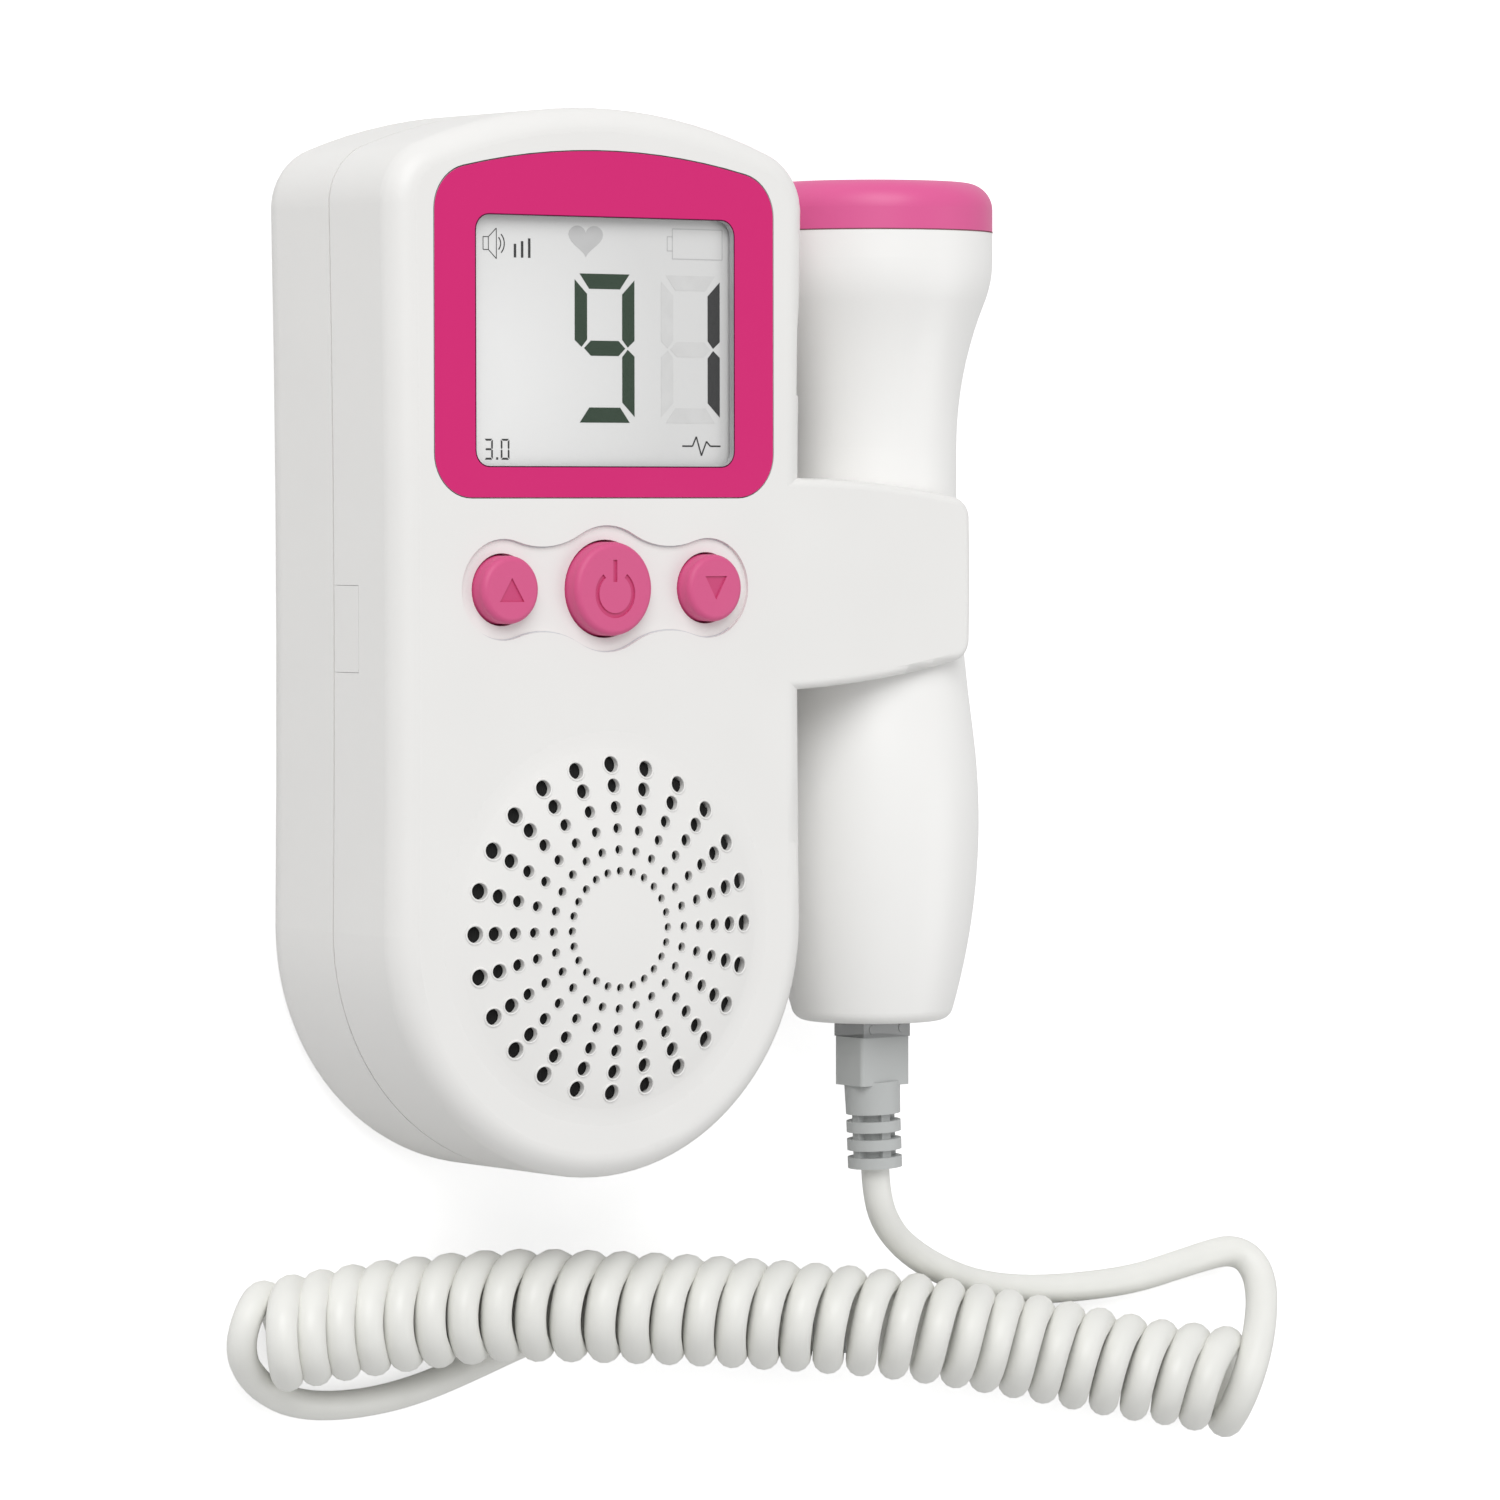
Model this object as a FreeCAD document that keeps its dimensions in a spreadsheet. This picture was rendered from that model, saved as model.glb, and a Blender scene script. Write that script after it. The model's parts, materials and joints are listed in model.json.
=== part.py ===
"""Pocket fetal doppler: a handset with a display, three buttons and a domed speaker grille, and an
ultrasound probe held in a side clip, with its coiled lead.

The handset lies on its back. The origin is the centre of its flat back, +X points to the probe,
+Y to the display end and +Z out of the front. All sizes are millimetres and stand in the sheet.
"""
import FreeCAD, Part
import math
import os

import Sketcher
from FreeCAD import Placement, Rotation, Vector

doc = FreeCAD.newDocument("fetal_doppler")

# ---------------------------------------------------------------- the sheet of driving dimensions
SIZES = (
    ("unit_length", 135.0, "handset, end to end"),
    ("unit_thickness", 31.2, "handset, flat back to flat front"),
    ("parting_height", 16.7, "joint between the rear and the front shell"),
    ("crown_half_width", 32.1, "half the width at the display end"),
    ("end_radius", 31.7, "half round at the speaker end"),
    ("waist_depth", 0.45, "how far the long sides draw in"),
    ("crown_rise", 7.3, "arch of the display end"),
    ("crown_corner", 8.0, "corner radius at the display end"),
    ("front_round", 3.2, "edge radius round the front"),
    ("back_round", 4.5, "edge radius round the back"),
    ("wall", 2.2, "wall of both shells"),
    ("seam_width", 0.3, "shadow line between the shells"),
    ("seam_depth", 0.35, "shadow line between the shells"),
    ("fit_gap", 0.15, "gap round a piece set into a seat"),
    ("touch_gap", 0.05, "gap between stacked inner pieces"),
    ("moving_gap", 0.3, "gap round a piece that moves"),
    ("bezel_half_width", 26.0, "display bezel"),
    ("bezel_margin", 5.6, "top of the bezel's arch from the handset's end"),
    ("bezel_length", 43.4, "display bezel, lower edge to the top of its arch"),
    ("bezel_arch", 3.5, "rise of the bezel's arch"),
    ("bezel_corner", 5.5, "corner radius of the bezel"),
    ("bezel_depth", 0.9, "thickness of the bezel"),
    ("window_half_width", 19.8, "opening of the bezel"),
    ("window_half_height", 15.6, "opening of the bezel"),
    ("window_drop", 23.9, "middle of the window below the top of the bezel"),
    ("window_depth", 0.6, "clear window behind the bezel"),
    ("window_corner", 2.0, "corner radius of the opening"),
    ("window_lap", 1.2, "clear window behind the bezel's rim"),
    ("panel_depth", 2.6, "display panel"),
    ("board_depth", 1.6, "circuit board"),
    ("board_top", 23.0, "front face of the circuit board"),
    ("board_half_width", 26.5, "circuit board"),
    ("board_low", -11.0, "lower edge of the circuit board"),
    ("board_margin", 13.5, "upper edge of the circuit board from the handset's end"),
    ("button_place", 7.0, "row of buttons along the handset"),
    ("button_spacing", 15.7, "power button to a volume button"),
    ("power_radius", 5.9, "power button"),
    ("volume_radius", 4.25, "volume buttons"),
    ("button_rise", 1.8, "buttons above the front face"),
    ("button_round", 0.8, "edge radius of the buttons"),
    ("button_travel", 0.8, "press of a button"),
    ("flange_lap", 1.1, "flange that keeps a button in"),
    ("flange_depth", 0.9, "flange that keeps a button in"),
    ("tray_depth", 0.5, "shallow tray round the buttons"),
    ("tray_margin", 2.1, "tray beyond a button's edge"),
    ("tray_neck_curve", 11.5, "hollow curve of the tray between two buttons"),
    ("chip_side", 7.0, "controller on the circuit board"),
    ("chip_depth", 1.4, "controller on the circuit board"),
    ("switch_side", 6.0, "push switch under a button"),
    ("switch_depth", 3.0, "push switch body"),
    ("nub_radius", 1.7, "actuator of the switch and foot of the button"),
    ("nub_depth", 0.5, "actuator of the switch"),
    ("dome_radius", 23.8, "speaker dome at the front face"),
    ("dome_rise", 3.0, "speaker dome above the front face"),
    ("dome_blend", 9.0, "hollow radius round the foot of the dome"),
    ("grille_wall", 0.8, "wall of the dome where the sound holes are"),
    ("grille_spokes", 24, "rows of sound holes round the dome"),
    ("hole_first", 7.35, "innermost sound hole from the centre"),
    ("hole_step", 2.67, "from one sound hole to the next"),
    ("speaker_radius", 22.0, "rim of the loudspeaker"),
    ("speaker_ring", 1.2, "wall round the loudspeaker"),
    ("magnet_radius", 12.0, "magnet of the loudspeaker"),
    ("magnet_depth", 5.0, "magnet of the loudspeaker"),
    ("speaker_depth", 9.2, "basket of the loudspeaker, rim to floor"),
    ("speaker_sheet", 1.0, "sheet of the basket"),
    ("surround_width", 4.6, "rim of the loudspeaker to the edge of its cone"),
    ("cone_drop", 4.4, "depth of the loudspeaker's cone"),
    ("post_place", 24.2, "screws from the middle line"),
    ("post_margin", 21.5, "upper pair of screws from the handset's end"),
    ("post_low", -7.0, "lower pair of screws"),
    ("post_radius", 3.1, "shouldered posts of the front shell"),
    ("pin_radius", 2.5, "post below the circuit board"),
    ("screw_radius", 1.1, "thread of the shell screws"),
    ("head_radius", 2.1, "head of the shell screws"),
    ("head_depth", 1.8, "head of the shell screws"),
    ("screw_length", 13.0, "thread of the shell screws"),
    ("head_seat", 9.0, "how deep the screw heads sit"),
    ("bay_half_width", 15.4, "battery bay"),
    ("bay_margin", 8.5, "battery bay's upper end from the handset's end"),
    ("bay_spare", 6.6, "room for the contacts beyond a cell"),
    ("bay_top", 17.4, "floor of the battery bay"),
    ("bay_wall", 1.5, "walls of the battery bay"),
    ("cell_radius", 7.2, "AA cell"),
    ("cell_length", 49.2, "AA cell without its cap"),
    ("cell_cap", 2.7, "radius of a cell's cap"),
    ("spring_length", 4.2, "bay's lower end to the foot of a cell"),
    ("spring_foot", 4.5, "radius of a spring at its plate"),
    ("spring_head", 2.5, "radius of a spring at its cell"),
    ("contact_side", 10.0, "spring and cap plates"),
    ("contact_sheet", 0.4, "spring and cap plates"),
    ("door_thickness", 1.8, "battery door"),
    ("door_corner", 2.0, "corner radius of the battery door"),
    ("door_lap", 1.0, "ledge that carries the battery door"),
    ("tab_width", 5.0, "hinge tabs of the battery door"),
    ("tab_reach", 1.4, "hinge tabs beyond the door's edge"),
    ("grip_pitch", 2.4, "grip grooves of the battery door"),
    ("port_low", -3.3, "side port cover, lower edge"),
    ("port_high", 7.6, "side port cover, upper edge"),
    ("port_rise", 5.5, "side port cover above the parting line"),
    ("clip_tip", 58.4, "end of the probe clip"),
    ("clip_low_root", -6.3, "clip at the handset, lower side"),
    ("clip_high_root", 21.0, "clip at the handset, upper side"),
    ("clip_low_tip", -2.4, "clip at its end, lower side"),
    ("clip_high_tip", 18.1, "clip at its end, upper side"),
    ("clip_bow", 0.8, "bow of the clip's two sides"),
    ("clip_corner", 2.8, "corner radius at the clip's end"),
    ("clip_round", 1.2, "edge radius of the clip"),
    ("probe_x", 53.1, "probe axis from the middle line"),
    ("probe_z", 16.6, "probe axis above the back"),
    ("neck_radius", 11.15, "probe at its neck"),
    ("neck_low", 20.0, "start of the straight neck"),
    ("neck_high", 25.0, "end of the straight neck"),
    ("belly_radius", 14.1, "probe at its belly"),
    ("belly_place", -24.1, "belly along the probe"),
    ("belly_curve", 92.0, "curve of the belly"),
    ("head_radius_probe", 15.9, "probe at its head"),
    ("head_place", 49.6, "start of the straight head"),
    ("head_curve", 15.0, "shoulder below the head"),
    ("cap_seam", 53.3, "joint between the probe's body and its cap"),
    ("cap_top", 59.8, "face of the cap"),
    ("cap_round", 3.6, "edge radius of the cap"),
    ("tail_end", -50.5, "lower end of the probe"),
    ("tail_round", 2.0, "edge radius at the lower end"),
    ("neck_bore", 9.2, "hollow of the probe's neck"),
    ("head_bore", 13.4, "hollow of the probe's head"),
    ("plug_width", 7.7, "four way modular plug"),
    ("plug_height", 6.4, "four way modular plug"),
    ("plug_length", 13.6, "four way modular plug"),
    ("plug_shown", 2.2, "plug left outside its socket"),
    ("contact_pitch", 1.27, "contacts of plugs and sockets"),
    ("contact_width", 0.4, "contacts of plugs and sockets"),
    ("boss_radius", 0.65, "small round mark on the plug"),
    ("boss_rise", 0.12, "small round mark on the plug"),
    ("latch_width", 3.2, "latch lever of the plug"),
    ("latch_depth", 0.7, "latch lever of the plug"),
    ("latch_gap", 0.5, "between the plug and its latch lever"),
    ("socket_width", 10.4, "socket housing"),
    ("socket_height", 10.6, "socket housing"),
    ("socket_length", 13.0, "socket housing"),
    ("socket_drop", 0.6, "socket's middle below the plug's"),
    ("unit_socket_x", 9.0, "handset socket from the middle line"),
    ("unit_socket_z", 9.6, "handset socket above the back"),
    ("unit_socket_inset", 5.1, "mouth of the handset socket from the end of the foot"),
    ("boot_width", 8.0, "block of the strain relief"),
    ("boot_height", 6.0, "block of the strain relief"),
    ("boot_block", 6.4, "length of the block"),
    ("sleeve_radius", 3.7, "sleeve of the strain relief at the block"),
    ("sleeve_length", 3.8, "sleeve of the strain relief"),
    ("rib_radius", 3.6, "ribs of the strain relief"),
    ("rib_length", 1.45, "one rib"),
    ("rib_pitch", 2.4, "from one rib to the next"),
    ("core_radius", 2.15, "strain relief between its ribs"),
    ("strut_reach", 3.0, "struts between the ribs, at the sides"),
    ("strut_height", 2.7, "struts between the ribs, front and back"),
    ("strut_half", 0.7, "half the thickness of a strut"),
    ("boot_lean", 2.5, "how far the ribs lean over, in degrees"),
    ("cord_radius", 1.9, "lead"),
    ("coil_radius", 7.2, "coiled part of the lead, outside"),
)

HOLE_RADII = (0.55, 0.6, 0.68, 0.8, 0.95, 1.08)
"""Sound holes of one row, from the centre outwards."""

sheet = doc.addObject("Spreadsheet::Sheet", "Sizes")
for row, (alias, number, meaning) in enumerate(SIZES, 1):
    sheet.set("A%d" % row, meaning)
    sheet.set("B%d" % row, str(number))
    sheet.setAlias("B%d" % row, alias)
for step, radius in enumerate(HOLE_RADII):
    row = len(SIZES) + 1 + step
    sheet.set("A%d" % row, "sound hole radius, ring %d" % step)
    sheet.set("B%d" % row, str(radius))
    sheet.setAlias("B%d" % row, "hole_radius_ring%s" % "abcdef"[step])
doc.recompute()


class Size:
    """A size with its value now and the expression that works it out from the sheet."""

    def __init__(self, value, text):
        self.value = value
        self.text = text

    def __add__(self, other):
        return join(self, "+", other, self.value + size(other).value)

    def __radd__(self, other):
        return size(other) + self

    def __sub__(self, other):
        return join(self, "-", other, self.value - size(other).value)

    def __rsub__(self, other):
        return size(other) - self

    def __mul__(self, other):
        return join(self, "*", other, self.value * size(other).value)

    def __rmul__(self, other):
        return size(other) * self

    def __truediv__(self, other):
        return join(self, "/", other, self.value / size(other).value)

    def __neg__(self):
        return size(0) - self


def size(term):
    return term if isinstance(term, Size) else Size(float(term), "(%r)" % float(term))


def join(left, sign, right, value):
    return Size(value, "(%s %s %s)" % (size(left).text, sign, size(right).text))


def root(term):
    return Size(math.sqrt(term.value), "sqrt(%s)" % term.text)


class Sheet:
    """Each alias of the sheet as a Size."""

    def __getattr__(self, alias):
        return Size(float(sheet.get(alias)), "Sizes.%s" % alias)


S = Sheet()
HALF_LENGTH = S.unit_length / 2
SPEAKER_Y = S.end_radius - HALF_LENGTH
FRONT = S.unit_thickness
SOCKET_Y = S.unit_socket_inset - HALF_LENGTH
CEILING = FRONT - S.wall
"""Inner side of the front wall."""
QUARTER_BULGE = 1 - math.sqrt(0.5)
"""Rise of a quarter circle over its chord, as a share of its radius."""
BEZEL_HIGH = HALF_LENGTH - S.bezel_margin
BEZEL_LOW = BEZEL_HIGH - S.bezel_length
WINDOW_PLACE = BEZEL_HIGH - S.window_drop
BAY_HIGH = HALF_LENGTH - S.bay_margin
BAY_LOW = BAY_HIGH - S.cell_length - S.bay_spare

X_WAY = Vector(1, 0, 0)
Y_WAY = Vector(0, 1, 0)
Z_WAY = Vector(0, 0, 1)


# ---------------------------------------------------------------- helpers for the document
def bind(thing, **places):
    """Ties properties of an object to sizes; a double underscore stands for a dot."""
    for path, term in places.items():
        thing.setExpression(path.replace("__", "."), size(term).text)
    return thing


def at(thing, x=0, y=0, z=0):
    return bind(thing, Placement__Base__x=x, Placement__Base__y=y, Placement__Base__z=z)


def box(name, low, high):
    """A box from its lowest to its highest corner."""
    made = doc.addObject("Part::Box", name)
    spans = [size(b) - size(a) for a, b in zip(low, high)]
    bind(made, Length=spans[0], Width=spans[1], Height=spans[2])
    return at(made, *low)


def rod(name, radius, base, length, axis=Z_WAY):
    """A cylinder from the middle of its base along an axis."""
    made = doc.addObject("Part::Cylinder", name)
    made.Placement = Placement(Vector(), Rotation(Z_WAY, axis))
    return at(bind(made, Radius=radius, Height=length), *base)


def ball(name, radius, centre):
    return at(bind(doc.addObject("Part::Sphere", name), Radius=radius), *centre)


def fuse(name, *shapes):
    made = doc.addObject("Part::MultiFuse", name)
    made.Shapes = list(shapes)
    return made


def cut(name, base, *tools):
    made = doc.addObject("Part::Cut", name)
    made.Base = base
    made.Tool = tools[0] if len(tools) == 1 else fuse(name + "_tools", *tools)
    return made


def common(name, one, other):
    made = doc.addObject("Part::Common", name)
    made.Base = one
    made.Tool = other
    return made


def soften(name, base, radius, wanted):
    """Rounds the edges of base that the test wanted picks."""
    doc.recompute()
    made = doc.addObject("Part::Fillet", name)
    made.Base = base
    edges = enumerate(base.Shape.Edges, 1)
    made.Edges = [(i, radius.value, radius.value) for i, edge in edges if wanted(edge)]
    return made


def upright_at(x, y, reach=1.0):
    """Test for an upright edge near a place in the plan, on either side."""
    def test(edge):
        box_ = edge.BoundBox
        near = abs(abs(box_.Center.x) - x.value) < reach and abs(box_.Center.y - y.value) < reach
        return near and box_.ZLength > 1 and box_.XLength < 0.01 and box_.YLength < 0.01
    return test


def level(z):
    """Test for an edge that lies wholly at one height."""
    return lambda edge: abs(edge.BoundBox.ZMin - z.value) + abs(edge.BoundBox.ZMax - z.value) < 0.01


def bulged(start, end, bulge):
    """Middle point of the arc that stands out to the right of the way from start to end."""
    middle = (start + end) * 0.5
    way = (end - start).normalize()
    return middle + Vector(way.y, -way.x, 0) * bulge


def trace(sketch, corners):
    """Draws a closed outline. A corner is (x, y) or (x, y, bulge of the side that starts there)."""
    terms = [(size(c[0]), size(c[1]), size(c[2]) if len(c) > 2 else None) for c in corners]
    points = [Vector(x.value, y.value, 0) for x, y, _ in terms]
    for i, (_, _, bulge) in enumerate(terms):
        start, end = points[i], points[(i + 1) % len(points)]
        if bulge is None:
            sketch.addGeometry(Part.LineSegment(start, end))
        else:
            sketch.addGeometry(Part.Arc(start, bulged(start, end, bulge.value), end))
    for i, (x, y, bulge) in enumerate(terms):
        last = (i - 1) % len(points)
        here, there = [
            (g, p) for g in (i, last) for p in (1, 2) if sketch.getPoint(g, p).isEqual(points[i], 1e-6)
        ][:2]
        sketch.addConstraint(Sketcher.Constraint("Coincident", *here, *there))
        for kind, term in (("DistanceX", x), ("DistanceY", y)):
            tie(sketch, term, kind, -1, 1, *here, term.value)
        if bulge is not None:
            after = terms[(i + 1) % len(terms)]
            across, along = after[0] - x, after[1] - y
            square = (across * across + along * along) / 4
            radius = (square + bulge * bulge) / (2 * (bulge if bulge.value > 0 else -bulge))
            tie(sketch, radius, "Radius", i, radius.value)
    return sketch


def tie(sketch, term, *constraint):
    """Adds a dimension to a sketch and binds it to its size."""
    number = sketch.addConstraint(Sketcher.Constraint(*constraint))
    sketch.setExpression("Constraints[%d]" % number, term.text)


def ring_line(sketch, x, y, radius):
    """Draws a circle."""
    x, y, radius = size(x), size(y), size(radius)
    centre = Vector(x.value, y.value, 0)
    number = sketch.addGeometry(Part.Circle(centre, Z_WAY, radius.value))
    tie(sketch, x, "DistanceX", -1, 1, number, 3, x.value)
    tie(sketch, y, "DistanceY", -1, 1, number, 3, y.value)
    tie(sketch, radius, "Radius", number, radius.value)


def prism(name, corners, low, high):
    """A plan outline carried up from one height to another."""
    sketch = trace(doc.addObject("Sketcher::SketchObject", name + "_outline"), corners)
    at(sketch, z=low)
    made = doc.addObject("Part::Extrusion", name)
    made.Base = sketch
    made.DirMode = "Custom"
    made.Dir = Z_WAY
    made.Solid = True
    return bind(made, LengthFwd=size(high) - size(low))


def body(name, x=0, y=0, z=0):
    return at(doc.addObject("PartDesign::Body", name), x, y, z)


def sketch_in(owner, name, plane="XY_Plane", lift=0):
    """An empty sketch on one of the body's own planes, lifted off it."""
    made = owner.newObject("Sketcher::SketchObject", name)
    flat = next(f for f in owner.Origin.OriginFeatures if f.Role == plane)
    made.AttachmentSupport = [(flat, "")]
    made.MapMode = "FlatFace"
    return bind(made, AttachmentOffset__Base__z=lift)


def pad(owner, sketch, length):
    made = owner.newObject("PartDesign::Pad", sketch.Name + "_pad")
    made.Profile = sketch
    return bind(made, Length=length)


def pocket(owner, sketch, length):
    """Cuts a sketch away downwards, against its normal."""
    made = owner.newObject("PartDesign::Pocket", sketch.Name + "_pocket")
    made.Profile = sketch
    return bind(made, Length=length)


def turned(owner, name, corners, plane="XZ_Plane", place=None):
    """Adds a solid of revolution: corners are (radius, height along the body's axis)."""
    sketch = sketch_in(owner, name + "_profile", plane)
    if place:
        place(sketch)
    trace(sketch, corners)
    made = owner.newObject("PartDesign::Revolution", name)
    made.Profile = sketch
    made.ReferenceAxis = (sketch, ["V_Axis"])
    made.Angle = 360
    return made


def round_edges(owner, base, radius, wanted):
    """Rounds edges of a body's last feature."""
    doc.recompute()
    made = owner.newObject("PartDesign::Fillet", base.Name + "_round")
    picked = ["Edge%d" % i for i, edge in enumerate(base.Shape.Edges, 1) if wanted(edge)]
    made.Base = (base, picked)
    return bind(made, Radius=radius)


parts = {}
"""Node name to the document object that holds its shape."""


def node(name, thing):
    thing.Label = name
    parts[name] = thing
    return thing


# ---------------------------------------------------------------- outlines shared by several pieces
def handset_plan(inset):
    """Plan of the handset, drawn in by inset: half round foot, waisted sides and arched crown."""
    foot, shoulder = S.end_radius - inset, S.crown_half_width - inset
    crown = HALF_LENGTH - S.crown_rise - inset
    return (
        (foot, SPEAKER_Y, -S.waist_depth),
        (shoulder, crown, S.crown_rise),
        (-shoulder, crown, -S.waist_depth),
        (-foot, SPEAKER_Y, foot * QUARTER_BULGE),
        (0, SPEAKER_Y - foot, foot * QUARTER_BULGE),
    )


def handset_block(name, inset, low, high):
    """The plan as a block with its two crown corners rounded."""
    block = prism(name, handset_plan(size(inset)), low, high)
    corner = upright_at(S.crown_half_width - inset, HALF_LENGTH - S.crown_rise - inset)
    return soften(name + "_corners", block, S.crown_corner - inset, corner)


def clip_plan():
    start = S.end_radius - S.wall - 2
    return (
        (start, S.clip_low_root, S.clip_bow),
        (S.clip_tip, S.clip_low_tip, S.clip_bow / 4),
        (S.clip_tip, S.clip_high_tip, S.clip_bow),
        (start, S.clip_high_root),
    )


def clip_arm(name, low, high, outer):
    """One jaw of the probe clip: a tongue with round corners and a softened outer edge."""
    block = prism(name, clip_plan(), low, high)

    def at_tip(edge):
        box_ = edge.BoundBox
        return box_.XMin > S.clip_tip.value - 0.5 and box_.ZLength > 1 and box_.YLength < 0.01

    tip = soften(name + "_tip", block, S.clip_corner, at_tip)

    def outside(edge):
        return level(size(outer))(edge) and edge.BoundBox.XMax > S.crown_half_width.value

    return soften(name + "_edge", tip, S.clip_round, outside)


def frame_plan(half_width, low, high, arch=None):
    """A rectangle about the middle line, arched at its top if asked."""
    top = (half_width, high) if arch is None else (half_width, high, arch)
    return ((-half_width, low), (half_width, low), top, (-half_width, high))


def plate(name, corners, corner, low, high):
    """A flat plate with its upright corners rounded."""
    block = prism(name + "_plate", corners, low, high)

    def upright(edge):
        box_ = edge.BoundBox
        return box_.XLength + box_.YLength < 0.01

    return soften(name, block, corner, upright)


# ---------------------------------------------------------------- the probe's room in its clip
JAW_LOW = S.clip_low_root - 1.5
JAW_HIGH = S.clip_high_root + 1.5


def neck_curve():
    """Radius of the long hollow curve between the probe's belly and its neck."""
    run, rise = S.neck_low - S.belly_place, S.belly_radius - S.neck_radius
    return (run * run + rise * rise) / (2 * rise) - S.belly_curve


def probe_radius_at(y):
    """Radius of the probe on the hollow curve below its neck."""
    run, curve = S.neck_low - y, neck_curve()
    return S.neck_radius + curve - root(curve * curve - run * run)


def clip_channel(name):
    """The tapered channel that grips the neck, open towards +X so that the probe pulls out."""
    wide = probe_radius_at(JAW_LOW) + S.moving_gap
    narrow = S.neck_radius + S.moving_gap
    seat = doc.addObject("Part::Cone", name + "_seat")
    seat.Placement = Placement(Vector(), Rotation(Z_WAY, Y_WAY))
    bind(seat, Radius1=wide, Radius2=narrow, Height=JAW_HIGH - JAW_LOW)
    at(seat, S.probe_x, JAW_LOW, S.probe_z)
    mouth = doc.addObject("Part::Wedge", name + "_mouth")
    bind(mouth, Xmin=0, Xmax=S.clip_tip - S.probe_x + 1, X2min=0, X2max=S.clip_tip - S.probe_x + 1)
    bind(mouth, Ymin=JAW_LOW, Ymax=JAW_HIGH, Zmin=-wide, Zmax=wide, Z2min=-narrow, Z2max=narrow)
    at(mouth, S.probe_x, 0, S.probe_z)
    return fuse(name, seat, mouth)


# ---------------------------------------------------------------- front shell
POST_HIGH = HALF_LENGTH - S.post_margin
SCREWS = [(side * S.post_place, y) for side in (-1, 1) for y in (S.post_low, POST_HIGH)]
BUTTONS = (
    ("power_button", size(0), S.power_radius),
    ("volume_up_button", -S.button_spacing, S.volume_radius),
    ("volume_down_button", S.button_spacing, S.volume_radius),
)
SPHERE = (S.dome_radius * S.dome_radius + S.dome_rise * S.dome_rise) / (2 * S.dome_rise)
"""Radius of the sphere that the speaker dome is cut from."""
WINDOW_LOW = WINDOW_PLACE - S.window_half_height
WINDOW_HIGH = WINDOW_PLACE + S.window_half_height


def dome(name, sphere, radius, low):
    """A cap of a sphere about the loudspeaker's axis, down to a height."""
    top = ball(name + "_ball", sphere, (0, SPEAKER_Y, FRONT + S.dome_rise - SPHERE))
    core = rod(name + "_core", radius, (0, SPEAKER_Y, low), FRONT + S.dome_rise + 1 - low)
    return common(name, top, core)


def front_hull():
    """Closed outer form: rounded block, upper jaw of the clip and speaker dome."""
    block = handset_block("front_block", 0, S.parting_height, FRONT)
    rounded = soften("front_round_edge", block, S.front_round, level(FRONT))
    jaw = clip_arm("front_jaw", S.parting_height, FRONT, FRONT)
    swell = dome("front_dome", SPHERE, S.dome_radius, FRONT - 1)
    hull = fuse("front_hull", rounded, jaw, swell)

    def foot_of_dome(edge):
        box_ = edge.BoundBox
        return level(FRONT)(edge) and abs(box_.XLength - 2 * S.dome_radius.value) < 0.1

    return soften("front_blend", hull, S.dome_blend, foot_of_dome)


def front_room():
    """The hollow: the plan inside the wall, and the room behind the dome."""
    room = handset_block("front_room", S.wall, S.parting_height - 1, CEILING)
    vault = dome("front_vault", SPHERE - S.grille_wall, S.dome_radius - S.wall, CEILING - 1)
    return room, vault


def front_ribs():
    """Screw posts with a shoulder that the board rests on, and the ring round the loudspeaker."""
    ribs = []
    for i, (x, y) in enumerate(SCREWS):
        shoulder = (x, y, S.board_top + S.touch_gap)
        ribs.append(rod("post_%d" % i, S.post_radius, shoulder, CEILING + 0.5 - shoulder[2]))
        foot = (x, y, S.parting_height)
        ribs.append(rod("post_pin_%d" % i, S.pin_radius, foot, shoulder[2] + 0.5 - foot[2]))
    inner = S.speaker_radius + S.fit_gap
    low = CEILING - 4.2
    outside = rod("ring_out", inner + S.speaker_ring, (0, SPEAKER_Y, low), CEILING + 0.9 - low)
    inside = rod("ring_in", inner, (0, SPEAKER_Y, low - 1), CEILING + 3 - low)
    ribs.append(cut("speaker_ring_wall", outside, inside))
    return ribs


def chord_rise(radius, one, other):
    """Bulge of an arc of a given radius over the chord between two corners."""
    across, along = other[0] - one[0], other[1] - one[1]
    return radius - root(radius * radius - (across * across + along * along) / 4)


def button_tray():
    """Shallow tray with a round lobe at each button, joined by hollow curves."""
    big, small = S.power_radius + S.tray_margin, S.volume_radius + S.tray_margin
    apart, neck = S.button_spacing, S.tray_neck_curve
    x = (apart * apart + (big - small) * (big + small + 2 * neck)) / (2 * apart)
    y = root((big + neck) * (big + neck) - x * x)
    share, other = big / (big + neck), small / (small + neck)
    inner = (x * share, y * share)
    outer = (apart + (x - apart) * other, y * other)
    tip = (apart + small, size(0))
    lobe = chord_rise(small, tip, outer)
    hollow = -chord_rise(neck, inner, outer)
    middle = chord_rise(big, inner, (-inner[0], inner[1]))
    middle_y = S.button_place
    corners = (
        (tip[0], middle_y, lobe),
        (outer[0], middle_y + outer[1], hollow),
        (inner[0], middle_y + inner[1], middle),
        (-inner[0], middle_y + inner[1], hollow),
        (-outer[0], middle_y + outer[1], lobe),
        (-tip[0], middle_y, lobe),
        (-outer[0], middle_y - outer[1], hollow),
        (-inner[0], middle_y - inner[1], middle),
        (inner[0], middle_y - inner[1], hollow),
        (outer[0], middle_y - outer[1], lobe),
    )
    return prism("tray", corners, FRONT - S.tray_depth, FRONT + 2)


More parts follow.
